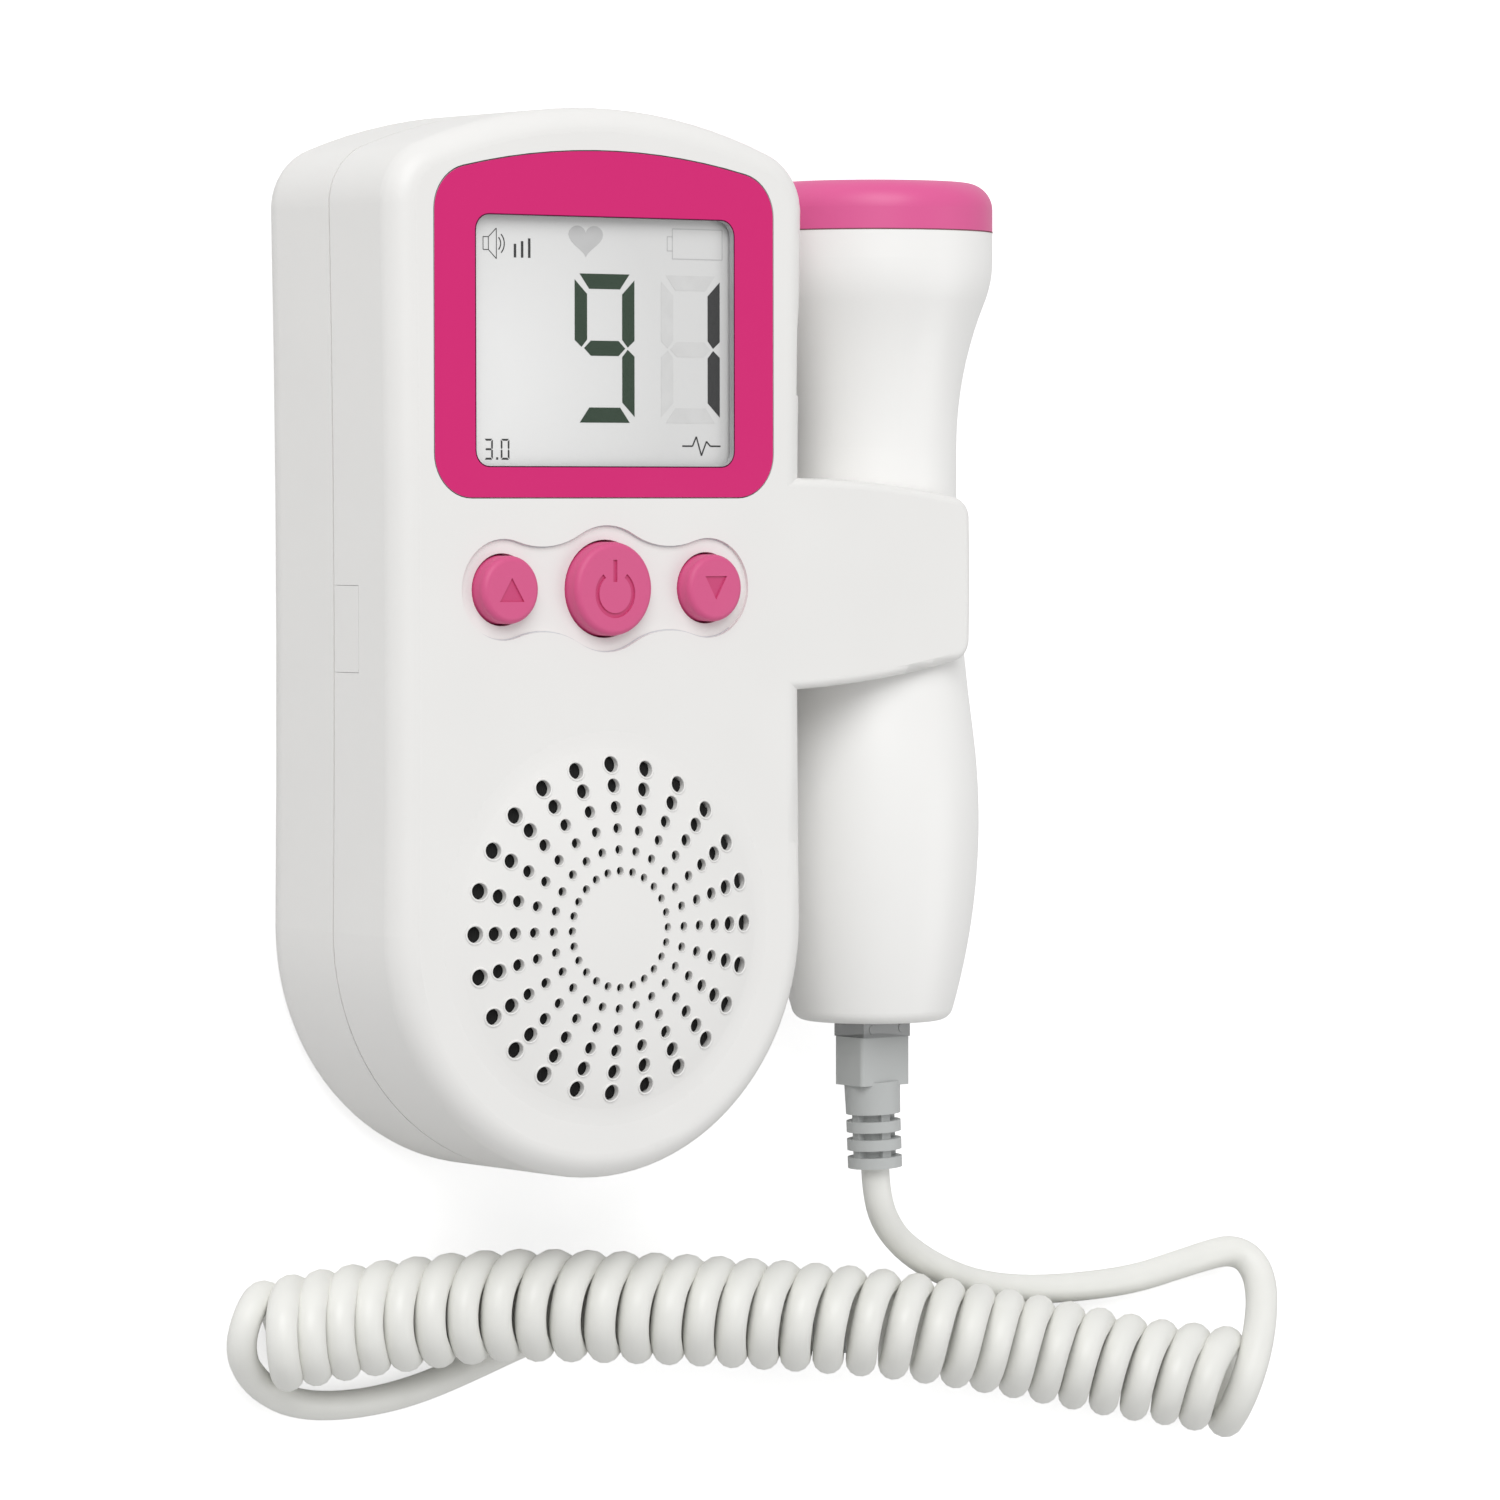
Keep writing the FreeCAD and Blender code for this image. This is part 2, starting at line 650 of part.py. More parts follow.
def front_openings():
    """Everything that is cut through the front shell's walls apart from the sound holes."""
    bezel = frame_plan(
        S.bezel_half_width + S.fit_gap,
        BEZEL_LOW - S.fit_gap,
        BEZEL_HIGH - S.bezel_arch + S.fit_gap,
        S.bezel_arch,
    )
    seat = plate("bezel_seat", bezel, S.bezel_corner + S.fit_gap, FRONT - S.bezel_depth, FRONT + 1)
    lap = S.window_lap + S.fit_gap
    glass = frame_plan(S.window_half_width + lap, WINDOW_LOW - lap, WINDOW_HIGH + lap)
    glass_seat = plate("window_seat", glass, S.window_corner, CEILING - 1, FRONT)
    tools = [seat, glass_seat, button_tray(), clip_channel("front_channel")]
    for name, x, radius in BUTTONS:
        start = (x, S.button_place, CEILING - 1)
        tools.append(rod("hole_" + name, radius + S.moving_gap, start, S.wall + 2))
    for i, (x, y) in enumerate(SCREWS):
        tools.append(rod("pilot_%d" % i, S.screw_radius, (x, y, S.parting_height - 1), 9))
    tools.append(port_room("port_notch", 0))
    return tools


def port_room(name, gap):
    """Box of the cover in the left wall, drawn in by a gap where it meets the front shell."""
    outer, inner = S.crown_half_width, S.end_radius - S.wall - 1
    low = (-outer - 1, S.port_low + gap, S.parting_height)
    high = (-inner, S.port_high - gap, S.parting_height + S.port_rise - gap)
    return box(name, low, high)


def sound_holes(owner):
    """One row of holes that grow outwards, repeated round the dome."""
    top = FRONT + S.dome_rise + 1
    row = sketch_in(owner, "sound_row", lift=top)
    bind(row, AttachmentOffset__Base__y=SPEAKER_Y)
    for step in range(len(HOLE_RADII)):
        radius = getattr(S, "hole_radius_ring%s" % "abcdef"[step])
        ring_line(row, S.hole_first + step * S.hole_step, 0, radius)
    holes = pocket(owner, row, S.dome_rise + S.wall + 3)
    holes.Type = "Length"
    around = owner.newObject("PartDesign::PolarPattern", "sound_rows")
    around.Originals = [holes]
    around.Axis = (row, ["N_Axis"])
    around.Angle = 360
    bind(around, Occurrences=S.grille_spokes)
    owner.Tip = around


def front_shell():
    hollow = cut("front_hollow", front_hull(), *front_room())
    ribbed = fuse("front_ribbed", hollow, *front_ribs())
    opened = cut("front_opened", ribbed, *front_openings())
    shell = body("front_shell_body")
    shell.BaseFeature = opened
    sound_holes(shell)
    return node("front_shell", shell)


def side_port_cover():
    """Flush blank in the left wall, cut from the same outer form."""
    form = handset_block("port_form", 0, S.parting_height, FRONT)
    room = handset_block("port_inside", S.wall, S.parting_height - 1, FRONT + 1)
    skin = cut("port_skin", form, room)
    return node("side_port_cover", common("port_cover", skin, port_room("port_blank", S.touch_gap)))


# ---------------------------------------------------------------- rear shell and battery door
DOOR_HALF_WIDTH = S.bay_half_width + S.door_lap
DOOR_LOW = BAY_LOW - S.door_lap
DOOR_HIGH = BAY_HIGH + S.door_lap
TAB_PLACES = (-S.bay_half_width / 2, S.bay_half_width / 2)
HINGE_RADIUS = S.door_thickness / 2
"""Half round of the battery door's upper edge, which it turns about."""


def rear_hull():
    block = handset_block("rear_block", 0, 0, S.parting_height)
    rounded = soften("rear_round_edge", block, S.back_round, level(size(0)))
    inside = handset_block("seam_in", S.seam_depth, 0, S.parting_height + 1)
    outside = handset_block("seam_out", -1, S.parting_height - S.seam_width, S.parting_height + 1)
    lined = cut("rear_seamed", rounded, cut("seam_ring", outside, inside))
    jaw = clip_arm("rear_jaw", 0, S.parting_height, 0)
    return fuse("rear_hull", lined, jaw)


def rear_ribs():
    """Tub of the battery bay and the bosses that the screws pass through."""
    thick = S.bay_wall + S.door_lap
    low = (-S.bay_half_width - thick, BAY_LOW - thick, S.wall / 2)
    high = (S.bay_half_width + thick, BAY_HIGH + thick, S.bay_top + S.bay_wall)
    ribs = [box("bay_tub", low, high)]
    for i, (x, y) in enumerate(SCREWS):
        start = (x, y, S.wall / 2)
        ribs.append(rod("boss_%d" % i, S.post_radius, start, S.parting_height - start[2]))
    return ribs


def tab_room(name, x):
    """Slot behind the back wall for one hinge tab of the door, with room to swing."""
    half = S.tab_width / 2 + S.moving_gap
    low = (x - half, BAY_HIGH - 1, S.door_thickness)
    high = (x + half, DOOR_HIGH + S.tab_reach + 1, S.wall + S.tab_reach + 1.6)
    return box(name, low, high)


def socket_room(name, gap):
    """Outside of the socket housing at the handset's foot."""
    x, z = S.unit_socket_x, S.unit_socket_z - S.socket_drop
    half, tall = S.socket_width / 2 + gap, S.socket_height / 2 + gap
    deep = SOCKET_Y + S.socket_length + gap
    return box(name, (x - half, -HALF_LENGTH - 1, z - tall), (x + half, deep, z + tall))


def door_plate(name, gap, top, low, high):
    """The door's plan with a gap round it: round corners at its lower end, square at the hinge."""
    side, foot = DOOR_HALF_WIDTH + gap, DOOR_LOW - gap
    flat = prism(name + "_flat", frame_plan(side, foot, top), low, high)
    return soften(name, flat, S.door_corner + gap, upright_at(side, foot))


def rear_openings():
    bay = box(
        "bay_room",
        (-S.bay_half_width, BAY_LOW, -1),
        (S.bay_half_width, BAY_HIGH, S.bay_top),
    )
    gap = S.fit_gap
    seat = door_plate("door_seat", gap, DOOR_HIGH + gap, -1, S.door_thickness + S.touch_gap)
    tools = [bay, seat, clip_channel("rear_channel"), socket_room("socket_opening", gap / 2)]
    for i, x in enumerate(TAB_PLACES):
        tools.append(tab_room("tab_slot_%d" % i, x))
    for i, (x, y) in enumerate(SCREWS):
        shaft = S.screw_radius + S.fit_gap
        tools.append(rod("shaft_%d" % i, shaft, (x, y, -1), S.parting_height + 2))
        tools.append(rod("sink_%d" % i, S.head_radius + S.fit_gap, (x, y, -1), S.head_seat + 1))
    return tools


def rear_shell():
    room = handset_block("rear_room", S.wall, S.wall, S.parting_height + 1)
    hollow = cut("rear_hollow", rear_hull(), room)
    ribbed = fuse("rear_ribbed", hollow, *rear_ribs())
    return node("rear_shell", cut("rear_opened", ribbed, *rear_openings()))


def battery_door():
    """Lid with a half round hinge edge, two tabs behind the back wall and a gripped lower end."""
    axis_y = DOOR_HIGH - HINGE_RADIUS
    lid = door_plate("door_lid", size(0), axis_y, 0, S.door_thickness)
    start = (-DOOR_HALF_WIDTH, axis_y, HINGE_RADIUS)
    knuckle = rod("door_knuckle", HINGE_RADIUS, start, 2 * DOOR_HALF_WIDTH, X_WAY)
    tabs = [knuckle]
    shelf = S.wall + S.moving_gap / 2
    for i, x in enumerate(TAB_PLACES):
        half = S.tab_width / 2
        top = shelf + 1
        neck = box("tab_neck_%d" % i, (x - half, BAY_HIGH - 1, 1), (x + half, BAY_HIGH + 0.8, top))
        reach = DOOR_HIGH + S.tab_reach
        tab = box("tab_%d" % i, (x - half, BAY_HIGH - 1, shelf), (x + half, reach, top))
        tabs += [neck, tab]
    whole = fuse("door_whole", lid, *tabs)
    grooves = []
    for i in range(5):
        y = DOOR_LOW + 4 + i * S.grip_pitch
        grooves.append(rod("groove_%d" % i, size(0.6), (-8, y, -0.2), 16, X_WAY))
    return node("battery_door", cut("door_gripped", whole, *grooves))


def shell_screws():
    """Four pan head screws in the back."""
    screws = []
    for i, (x, y) in enumerate(SCREWS):
        base = S.head_seat - S.head_depth
        head = rod("screw_head_%d" % i, S.head_radius, (x, y, base), S.head_depth)
        thread, start = S.screw_radius - S.touch_gap, S.head_seat - S.head_depth / 2
        shaft = rod("screw_shaft_%d" % i, thread, (x, y, start), S.screw_length)
        long, thin, deep = S.head_radius * 0.62, S.head_radius / 7, S.head_depth * 0.4
        slot = box(
            "screw_slot_%d" % i,
            (x - long, y - thin, base - 1),
            (x + long, y + thin, base + deep),
        )
        cross = box(
            "screw_cross_%d" % i,
            (x - thin, y - long, base - 1),
            (x + thin, y + long, base + deep),
        )
        screws.append(cut("screw_%d" % i, fuse("screw_blank_%d" % i, head, shaft), slot, cross))
    group = doc.addObject("Part::Compound", "screw_group")
    group.Links = screws
    return node("shell_screws", group)


# ---------------------------------------------------------------- batteries
def battery_pieces():
    """Two AA cells side by side, with a spring and a cap contact at the ends."""
    cells, springs, contacts = [], [], []
    height = S.door_thickness + 0.4 + S.cell_radius
    foot = BAY_LOW + S.spring_length
    half = S.contact_side / 2
    top_plate = BAY_HIGH - S.touch_gap - S.contact_sheet
    for i, side in enumerate((-1, 1)):
        x = side * (S.bay_half_width / 2 - 0.2)
        can = rod("cell_can_%d" % i, S.cell_radius, (x, foot, height), S.cell_length, Y_WAY)
        start = (x, foot + S.cell_length - 0.5, height)
        button = rod("cell_cap_%d" % i, S.cell_cap, start, 1.7, Y_WAY)
        cells.append(fuse("cell_%d" % i, can, button))
        base = BAY_LOW + S.contact_sheet + 2 * S.touch_gap
        cone = doc.addObject("Part::Cone", "spring_%d" % i)
        cone.Placement = Placement(Vector(), Rotation(Z_WAY, Y_WAY))
        bind(cone, Radius1=S.spring_foot, Radius2=S.spring_head, Height=foot - S.touch_gap - base)
        springs.append(at(cone, x, base, height))
        for end, y in (("low", BAY_LOW + S.touch_gap), ("high", top_plate)):
            low, high = (x - half, y, height - half), (x + half, y + S.contact_sheet, height + half)
            contacts.append(box("contact_%s_%d" % (end, i), low, high))
    for name, group in (("battery_cells", cells), ("battery_springs", springs),
                        ("battery_contacts", contacts)):
        made = doc.addObject("Part::Compound", name + "_group")
        made.Links = group
        node(name, made)


# ---------------------------------------------------------------- display, board and buttons
def display_bezel():
    outer = frame_plan(
        S.bezel_half_width, BEZEL_LOW, BEZEL_HIGH - S.bezel_arch, S.bezel_arch
    )
    face = plate("bezel_face", outer, S.bezel_corner, FRONT - S.bezel_depth, FRONT)
    hole = frame_plan(S.window_half_width, WINDOW_LOW, WINDOW_HIGH)
    opening = plate("bezel_hole", hole, S.window_corner, FRONT - S.bezel_depth - 1, FRONT + 1)
    return node("display_bezel", cut("bezel", face, opening))


def layer(name, margin, low, high, corner=1.0):
    """A plate behind the window, larger than the opening by a margin."""
    corners = frame_plan(S.window_half_width + margin, WINDOW_LOW - margin, WINDOW_HIGH + margin)
    return node(name, plate(name + "_layer", corners, size(corner), low, high))


def display_stack():
    """Clear window, display panel and the light guide that stands on the board."""
    glass_top = FRONT - S.bezel_depth
    glass_low = glass_top - S.window_depth
    layer("display_window", S.window_lap, glass_low, glass_top, 2.0)
    panel_top = glass_low - S.touch_gap
    panel_low = panel_top - S.panel_depth
    layer("lcd_panel", S.window_lap - 0.1, panel_low, panel_top)
    layer("backlight_plate", S.window_lap, S.board_top + S.touch_gap, panel_low - S.touch_gap)


def main_board():
    corners = frame_plan(S.board_half_width, S.board_low, HALF_LENGTH - S.board_margin)
    blank = plate("board_blank", corners, size(3), S.board_top - S.board_depth, S.board_top)
    holes = []
    for i, (x, y) in enumerate(SCREWS):
        start = (x, y, S.board_top - S.board_depth - 1)
        holes.append(rod("board_hole_%d" % i, S.pin_radius + S.fit_gap, start, S.board_depth + 2))
    return node("main_board", cut("board", blank, *holes))


CHIPS = ((-0.65, 0.0, 1.0, 1.0), (0.79, 0.21, 0.7, 0.86), (-0.82, 0.3, 0.46, 0.36),
         (-0.82, 0.4, 0.46, 0.36))
"""Chips: places as shares of the board's half width and height, sides as shares of the largest."""


def board_chips():
    """Controller, amplifier and two capacitors on the back of the board."""
    under = S.board_top - S.board_depth - S.touch_gap
    chips = []
    for i, (x, y, wide, tall) in enumerate(CHIPS):
        place_x, place_y = x * S.board_half_width, y * (HALF_LENGTH - S.board_margin)
        half_x, half_y = S.chip_side * wide / 2, S.chip_side * tall / 2
        low = (place_x - half_x, place_y - half_y, under - S.chip_depth)
        chips.append(box("chip_%d" % i, low, (place_x + half_x, place_y + half_y, under)))
    group = doc.addObject("Part::Compound", "chip_group")
    group.Links = chips
    return node("board_chips", group)


def push_switches():
    """One push switch on the board behind each button."""
    switches = []
    base = S.board_top + S.touch_gap / 2
    half = S.switch_side / 2
    for name, x, _ in BUTTONS:
        low = (x - half, S.button_place - half, base)
        high = (x + half, S.button_place + half, base + S.switch_depth)
        case = box("case_" + name, low, high)
        tip = (x, S.button_place, base + S.switch_depth - 0.5)
        nub = rod("nub_" + name, S.nub_radius, tip, S.nub_depth + 0.5)
        switches.append(fuse("switch_" + name, case, nub))
    group = doc.addObject("Part::Compound", "switch_group")
    group.Links = switches
    return node("push_switches", group)


def button(name, x, radius):
    """A cap with a rounded edge, a flange behind the wall and a foot over its switch."""
    made = body(name + "_body", x, S.button_place, 0)
    flange_top = CEILING - S.touch_gap
    foot_end = S.board_top + S.switch_depth + S.nub_depth + S.button_travel + 0.1
    rim = radius + S.flange_lap
    turned(made, name + "_form", (
        (0, foot_end),
        (S.nub_radius, foot_end),
        (S.nub_radius, flange_top - S.flange_depth),
        (rim, flange_top - S.flange_depth),
        (rim, flange_top),
        (radius, flange_top),
        (radius, FRONT + S.button_rise - S.button_round, S.button_round * QUARTER_BULGE),
        (radius - S.button_round, FRONT + S.button_rise),
        (0, FRONT + S.button_rise),
    ))
    return node(name, made)


# ---------------------------------------------------------------- loudspeaker
def loudspeaker():
    rim = CEILING - 0.1
    floor = rim - S.speaker_depth
    sheet_ = S.speaker_sheet
    frame = body("speaker_frame_body", 0, SPEAKER_Y, 0)
    seat, eye = S.magnet_radius + 1.6, S.magnet_radius / 3
    turned(frame, "speaker_basket", (
        (eye, floor),
        (seat, floor),
        (seat, floor + 1.2 * sheet_),
        (S.speaker_radius - 2.2 * sheet_, rim - sheet_),
        (S.speaker_radius, rim - sheet_),
        (S.speaker_radius, rim),
        (S.speaker_radius - 3.2 * sheet_, rim),
        (seat - sheet_, floor + 1.4 * sheet_),
        (seat - sheet_, floor + sheet_),
        (eye, floor + sheet_),
    ))
    node("speaker_frame", frame)
    cone = body("speaker_cone_body", 0, SPEAKER_Y, 0)
    edge, dust = S.speaker_radius - S.surround_width, S.magnet_radius / 2
    high, paper = rim - 0.6, size(0.7)
    turned(cone, "speaker_diaphragm", (
        (0, high - S.cone_drop - paper),
        (dust, high - S.cone_drop - paper),
        (edge, high - paper),
        (edge, high),
        (dust - 0.4, high - S.cone_drop),
        (0, high - S.cone_drop),
    ))
    node("speaker_cone", cone)
    magnet = rod(
        "magnet_core",
        S.magnet_radius,
        (0, SPEAKER_Y, floor - S.touch_gap - S.magnet_depth),
        S.magnet_depth,
    )
    node("speaker_magnet", magnet)
    reach = S.dome_radius - S.wall - S.fit_gap
    under = SPHERE - S.grille_wall
    outer = dome("cloth_out", under - S.touch_gap, reach, CEILING)
    inner = ball("cloth_in", under - 0.35, (0, SPEAKER_Y, FRONT + S.dome_rise - SPHERE))
    node("speaker_cloth", cut("cloth", outer, inner))


# ---------------------------------------------------------------- sockets, plugs and strain reliefs
CONTACTS = (-1.5, -0.5, 0.5, 1.5)
"""Places of the four contacts, in pitches from the middle."""
MOUTH_GAP = S.moving_gap
BOSS_PLACES = ((-2.3, 1.05), (2.6, 1.15))
"""Small round marks on the part of a plug that stays outside."""


def turn_to(thing, angle, x, y, z):
    """Stands a piece that is drawn along -Y at a place, turned about Z by an angle."""
    thing.Placement = Placement(Vector(), Rotation(Z_WAY, angle))
    return at(thing, x, y, z)


def socket(name, x, y, z):
    """Housing whose mouth opens towards -Y, with a channel for the plug's latch lever."""
    half, tall = S.socket_width / 2, S.socket_height / 2
    low = (x - half, y, z - S.socket_drop - tall)
    high = (x + half, y + S.socket_length, z - S.socket_drop + tall)
    case = box(name + "_case", low, high)
    wide, high_ = S.plug_width / 2 + MOUTH_GAP, S.plug_height / 2 + MOUTH_GAP
    deep = S.plug_length - S.plug_shown + MOUTH_GAP
    mouth = box(name + "_mouth", (x - wide, y - 1, z - high_), (x + wide, y + deep, z + high_))
    lever = S.latch_width / 2 + MOUTH_GAP
    drop = S.plug_height / 2 + S.latch_gap + S.latch_depth + MOUTH_GAP
    groove = box(name + "_groove", (x - lever, y - 1, z - drop), (x + lever, y + deep, z))
    wires, slots = [], []
    for i, place in enumerate(CONTACTS):
        left = x + place * S.contact_pitch - S.contact_width / 2
        roof = z + high_
        start, end = (left, y + 1.5, roof), (left + S.contact_width, y + deep, roof + 0.5)
        wires.append(box("%s_wire_%d" % (name, i), start, end))
        slots.append(box("%s_slot_%d" % (name, i), (left, y + 1.5, roof - 0.2), end))
    node(name, cut(name + "_housing", case, mouth, groove, *slots))
    group = doc.addObject("Part::Compound", name + "_wires")
    group.Links = wires
    return node(name + "_contacts", group)


def plug(name, shift, angle):
    """Clear plug drawn with its cord end at y = 0 and its nose towards +Y, with a latch lever."""
    half, tall = S.plug_width / 2, S.plug_height / 2
    bar = box(name + "_bar", (-half, 0, -tall), (half, S.plug_length, tall))
    under = -tall - S.latch_gap
    lever = box(
        name + "_lever",
        (-S.latch_width / 2, 1.6, under - S.latch_depth),
        (S.latch_width / 2, S.plug_length - 0.4, under),
    )
    hinge = box(
        name + "_hinge",
        (-S.latch_width / 2, S.plug_length - 1.6, under - S.latch_depth),
        (S.latch_width / 2, S.plug_length - 0.4, -tall + 0.5),
    )
    marks = []
    for i, (x, y) in enumerate(BOSS_PLACES):
        marks.append(rod("%s_mark_%d" % (name, i), S.boss_radius, (x, y, tall - 0.5), 0.5 + S.boss_rise))
    blades, slots = [], []
    for i, place in enumerate(CONTACTS):
        left = place * S.contact_pitch - S.contact_width / 2
        low = (left, S.plug_length - 5, tall - 2.6)
        high = (left + S.contact_width, S.plug_length - 1, tall - 0.2)
        blades.append(box("%s_blade_%d" % (name, i), low, high))
        slots.append(box("%s_cut_%d" % (name, i), low, (high[0], high[1], tall + 1)))
    form = cut(name + "_form", fuse(name + "_solid", bar, lever, hinge, *marks), *slots)
    node(name, turn_to(form, angle, *shift))
    group = doc.addObject("Part::Compound", name + "_blades")
    group.Links = blades
    return node(name + "_contacts", turn_to(group, angle, *shift))


def lean_over(sketch):
    """Turns a sketch of the ribs about the end of the block."""
    place = sketch.AttachmentOffset
    sketch.AttachmentOffset = Placement(place.Base, Rotation(Z_WAY, S.boot_lean.value))
    bind(sketch, AttachmentOffset__Rotation__Angle=S.boot_lean, AttachmentOffset__Base__y=-S.boot_block)


def boot(name, shift, angle):
    """Strain relief towards -Y: a block, then a sleeve and three ribs that lean a little."""
    made = body(name + "_body")
    turn_to(made, angle, *shift)
    block = sketch_in(made, name + "_block", "XZ_Plane")
    half, tall = S.boot_width / 2, S.boot_height / 2
    trace(block, ((-half, -tall), (half, -tall), (half, tall), (-half, tall)))
    solid = pad(made, block, S.boot_block)
    doc.recompute()

    def long_edge(edge):
        return edge.BoundBox.YLength > 1

    round_edges(made, solid, size(0.5), long_edge)
    sleeve_end = -S.sleeve_length
    gap = S.rib_pitch - S.rib_length
    steps = [(0, 0.5), (0, RIBS_END), (S.rib_radius, RIBS_END)]
    for i in (2, 1, 0):
        rib_start = sleeve_end - gap - i * S.rib_pitch
        steps.append((S.rib_radius, rib_start))
        steps.append((S.core_radius, rib_start))
        if i:
            steps.append((S.core_radius, rib_start + gap))
            steps.append((S.rib_radius, rib_start + gap))
    steps += [
        (S.core_radius, sleeve_end),
        (S.rib_radius, sleeve_end),
        (S.sleeve_radius, 0),
        (S.sleeve_radius, 0.5),
    ]
    turned(made, name + "_ribs", steps, "XY_Plane", lean_over)
    struts = sketch_in(made, name + "_struts", "XY_Plane", -S.strut_half)
    lean_over(struts)
    trace(struts, (
        (-S.strut_reach, RIBS_END + 0.3),
        (S.strut_reach, RIBS_END + 0.3),
        (S.strut_reach, sleeve_end + 0.3),
        (-S.strut_reach, sleeve_end + 0.3),
    ))
    pad(made, struts, 2 * S.strut_half)
    spine = sketch_in(made, name + "_spine", "XY_Plane", -S.strut_height)
    lean_over(spine)
    trace(spine, (
        (-S.strut_half, RIBS_END + 0.3),
        (S.strut_half, RIBS_END + 0.3),
        (S.strut_half, sleeve_end + 0.3),
        (-S.strut_half, sleeve_end + 0.3),
    ))
    pad(made, spine, 2 * S.strut_height)
    return node(name, made)


RIBS_END = -(S.sleeve_length + 3 * S.rib_pitch)
"""Cord end of a strain relief, from its block."""
PLUG_Y = S.tail_end - S.plug_shown
"""Where the probe's plug ends and its strain relief starts."""


# ---------------------------------------------------------------- probe
def probe_body():
    """Turned handle: belly, long hollow neck and flared head, bored for its board and disc."""
    run, rise = S.neck_low - S.belly_place, S.belly_radius - S.neck_radius
    share = S.belly_curve / (S.belly_curve + neck_curve())
    low_joint = (S.belly_radius - rise * share, S.belly_place + run * share)
    climb, flare = S.head_place - S.neck_high, S.head_radius_probe - S.neck_radius
    throat_curve = (climb * climb + flare * flare) / (2 * flare) - S.head_curve
    part_ = S.head_curve / (S.head_curve + throat_curve)
    high_joint = (S.head_radius_probe - flare * part_, S.head_place - climb * part_)
    fall = S.belly_place - S.tail_end
    tail_radius = S.belly_radius - S.belly_curve + root(S.belly_curve * S.belly_curve - fall * fall)

    tail = (tail_radius, S.tail_end)
    neck_a, neck_b = (S.neck_radius, S.neck_low), (S.neck_radius, S.neck_high)
    head = (S.head_radius_probe, S.head_place)
    made = body("probe_body_body", S.probe_x, 0, S.probe_z)
    form = turned(made, "probe_form", (
        (0, S.tail_end),
        (*tail, chord_rise(S.belly_curve, tail, low_joint)),
        (*low_joint, -chord_rise(neck_curve(), low_joint, neck_a)),
        neck_a,
        (*neck_b, -chord_rise(throat_curve, neck_b, high_joint)),
        (*high_joint, chord_rise(S.head_curve, high_joint, head)),
        head,
        (S.head_radius_probe, S.cap_seam),
        (0, S.cap_seam),
    ), "XY_Plane")

    def tail_edge(edge):
        box_ = edge.BoundBox
        return box_.YLength < 0.01 and box_.YMax < S.tail_end.value + 0.01 and box_.XLength > 4

    round_edges(made, form, S.tail_round, tail_edge)
    floor = S.tail_end + S.socket_length + S.touch_gap
    for label, radius, low, high in (
        ("neck_hollow", S.neck_bore, floor, S.neck_high + 17),
        ("head_hollow", S.head_bore, S.neck_high + 21, S.cap_seam),
    ):
        bore = sketch_in(made, label, "XZ_Plane", -high)
        ring_line(bore, 0, 0, radius)
        hollow = pocket(made, bore, high - low)
        hollow.Reversed = True
    throat = sketch_in(made, "throat_profile", "XY_Plane")
    trace(throat, (
        (0, S.neck_high + 16.9),
        (S.neck_bore, S.neck_high + 16.9),
        (S.head_bore, S.neck_high + 21.1),
        (0, S.neck_high + 21.1),
    ))
    funnel = made.newObject("PartDesign::Groove", "throat")
    funnel.Profile = throat
    funnel.ReferenceAxis = (throat, ["V_Axis"])
    funnel.Angle = 360
    well = sketch_in(made, "socket_well", "XZ_Plane", -floor)
    half, tall = S.socket_width / 2 + S.touch_gap, S.socket_height / 2 + S.touch_gap
    middle = -S.socket_drop
    trace(well, (
        (-half, middle - tall), (half, middle - tall), (half, middle + tall), (-half, middle + tall)
    ))
    room = pocket(made, well, S.socket_length + 1)
    room.Reversed = True
    return node("probe_body", made)


def probe_inside():
    """Cap with its spigot, the transducer disc behind it, and the board in the neck."""
    cap = body("probe_cap_body", S.probe_x, 0, S.probe_z)
    spigot = S.head_bore - S.touch_gap
    turned(cap, "cap_form", (
        (0, S.cap_seam + 2),
        (spigot - 1.4, S.cap_seam + 2),
        (spigot - 1.4, S.cap_seam - 3),
        (spigot, S.cap_seam - 3),
        (spigot, S.cap_seam),
        (S.head_radius_probe, S.cap_seam),
        (S.head_radius_probe, S.cap_top - S.cap_round, S.cap_round * QUARTER_BULGE),
        (S.head_radius_probe - S.cap_round, S.cap_top),
        (0, S.cap_top),
    ), "XY_Plane")
    node("probe_cap", cap)
    disc_top = S.cap_seam + 2 - S.touch_gap
    disc = rod("disc", spigot - 1.6, (S.probe_x, disc_top - 2.2, S.probe_z), 2.2, Y_WAY)
    node("transducer_disc", disc)
    reach = S.neck_bore - 0.2
    low = (S.probe_x - reach, S.tail_end + S.socket_length + 1, S.probe_z - 0.6)
    high = (S.probe_x + reach, S.neck_high + 5, S.probe_z + 0.6)
    node("probe_board", box("neck_board", low, high))


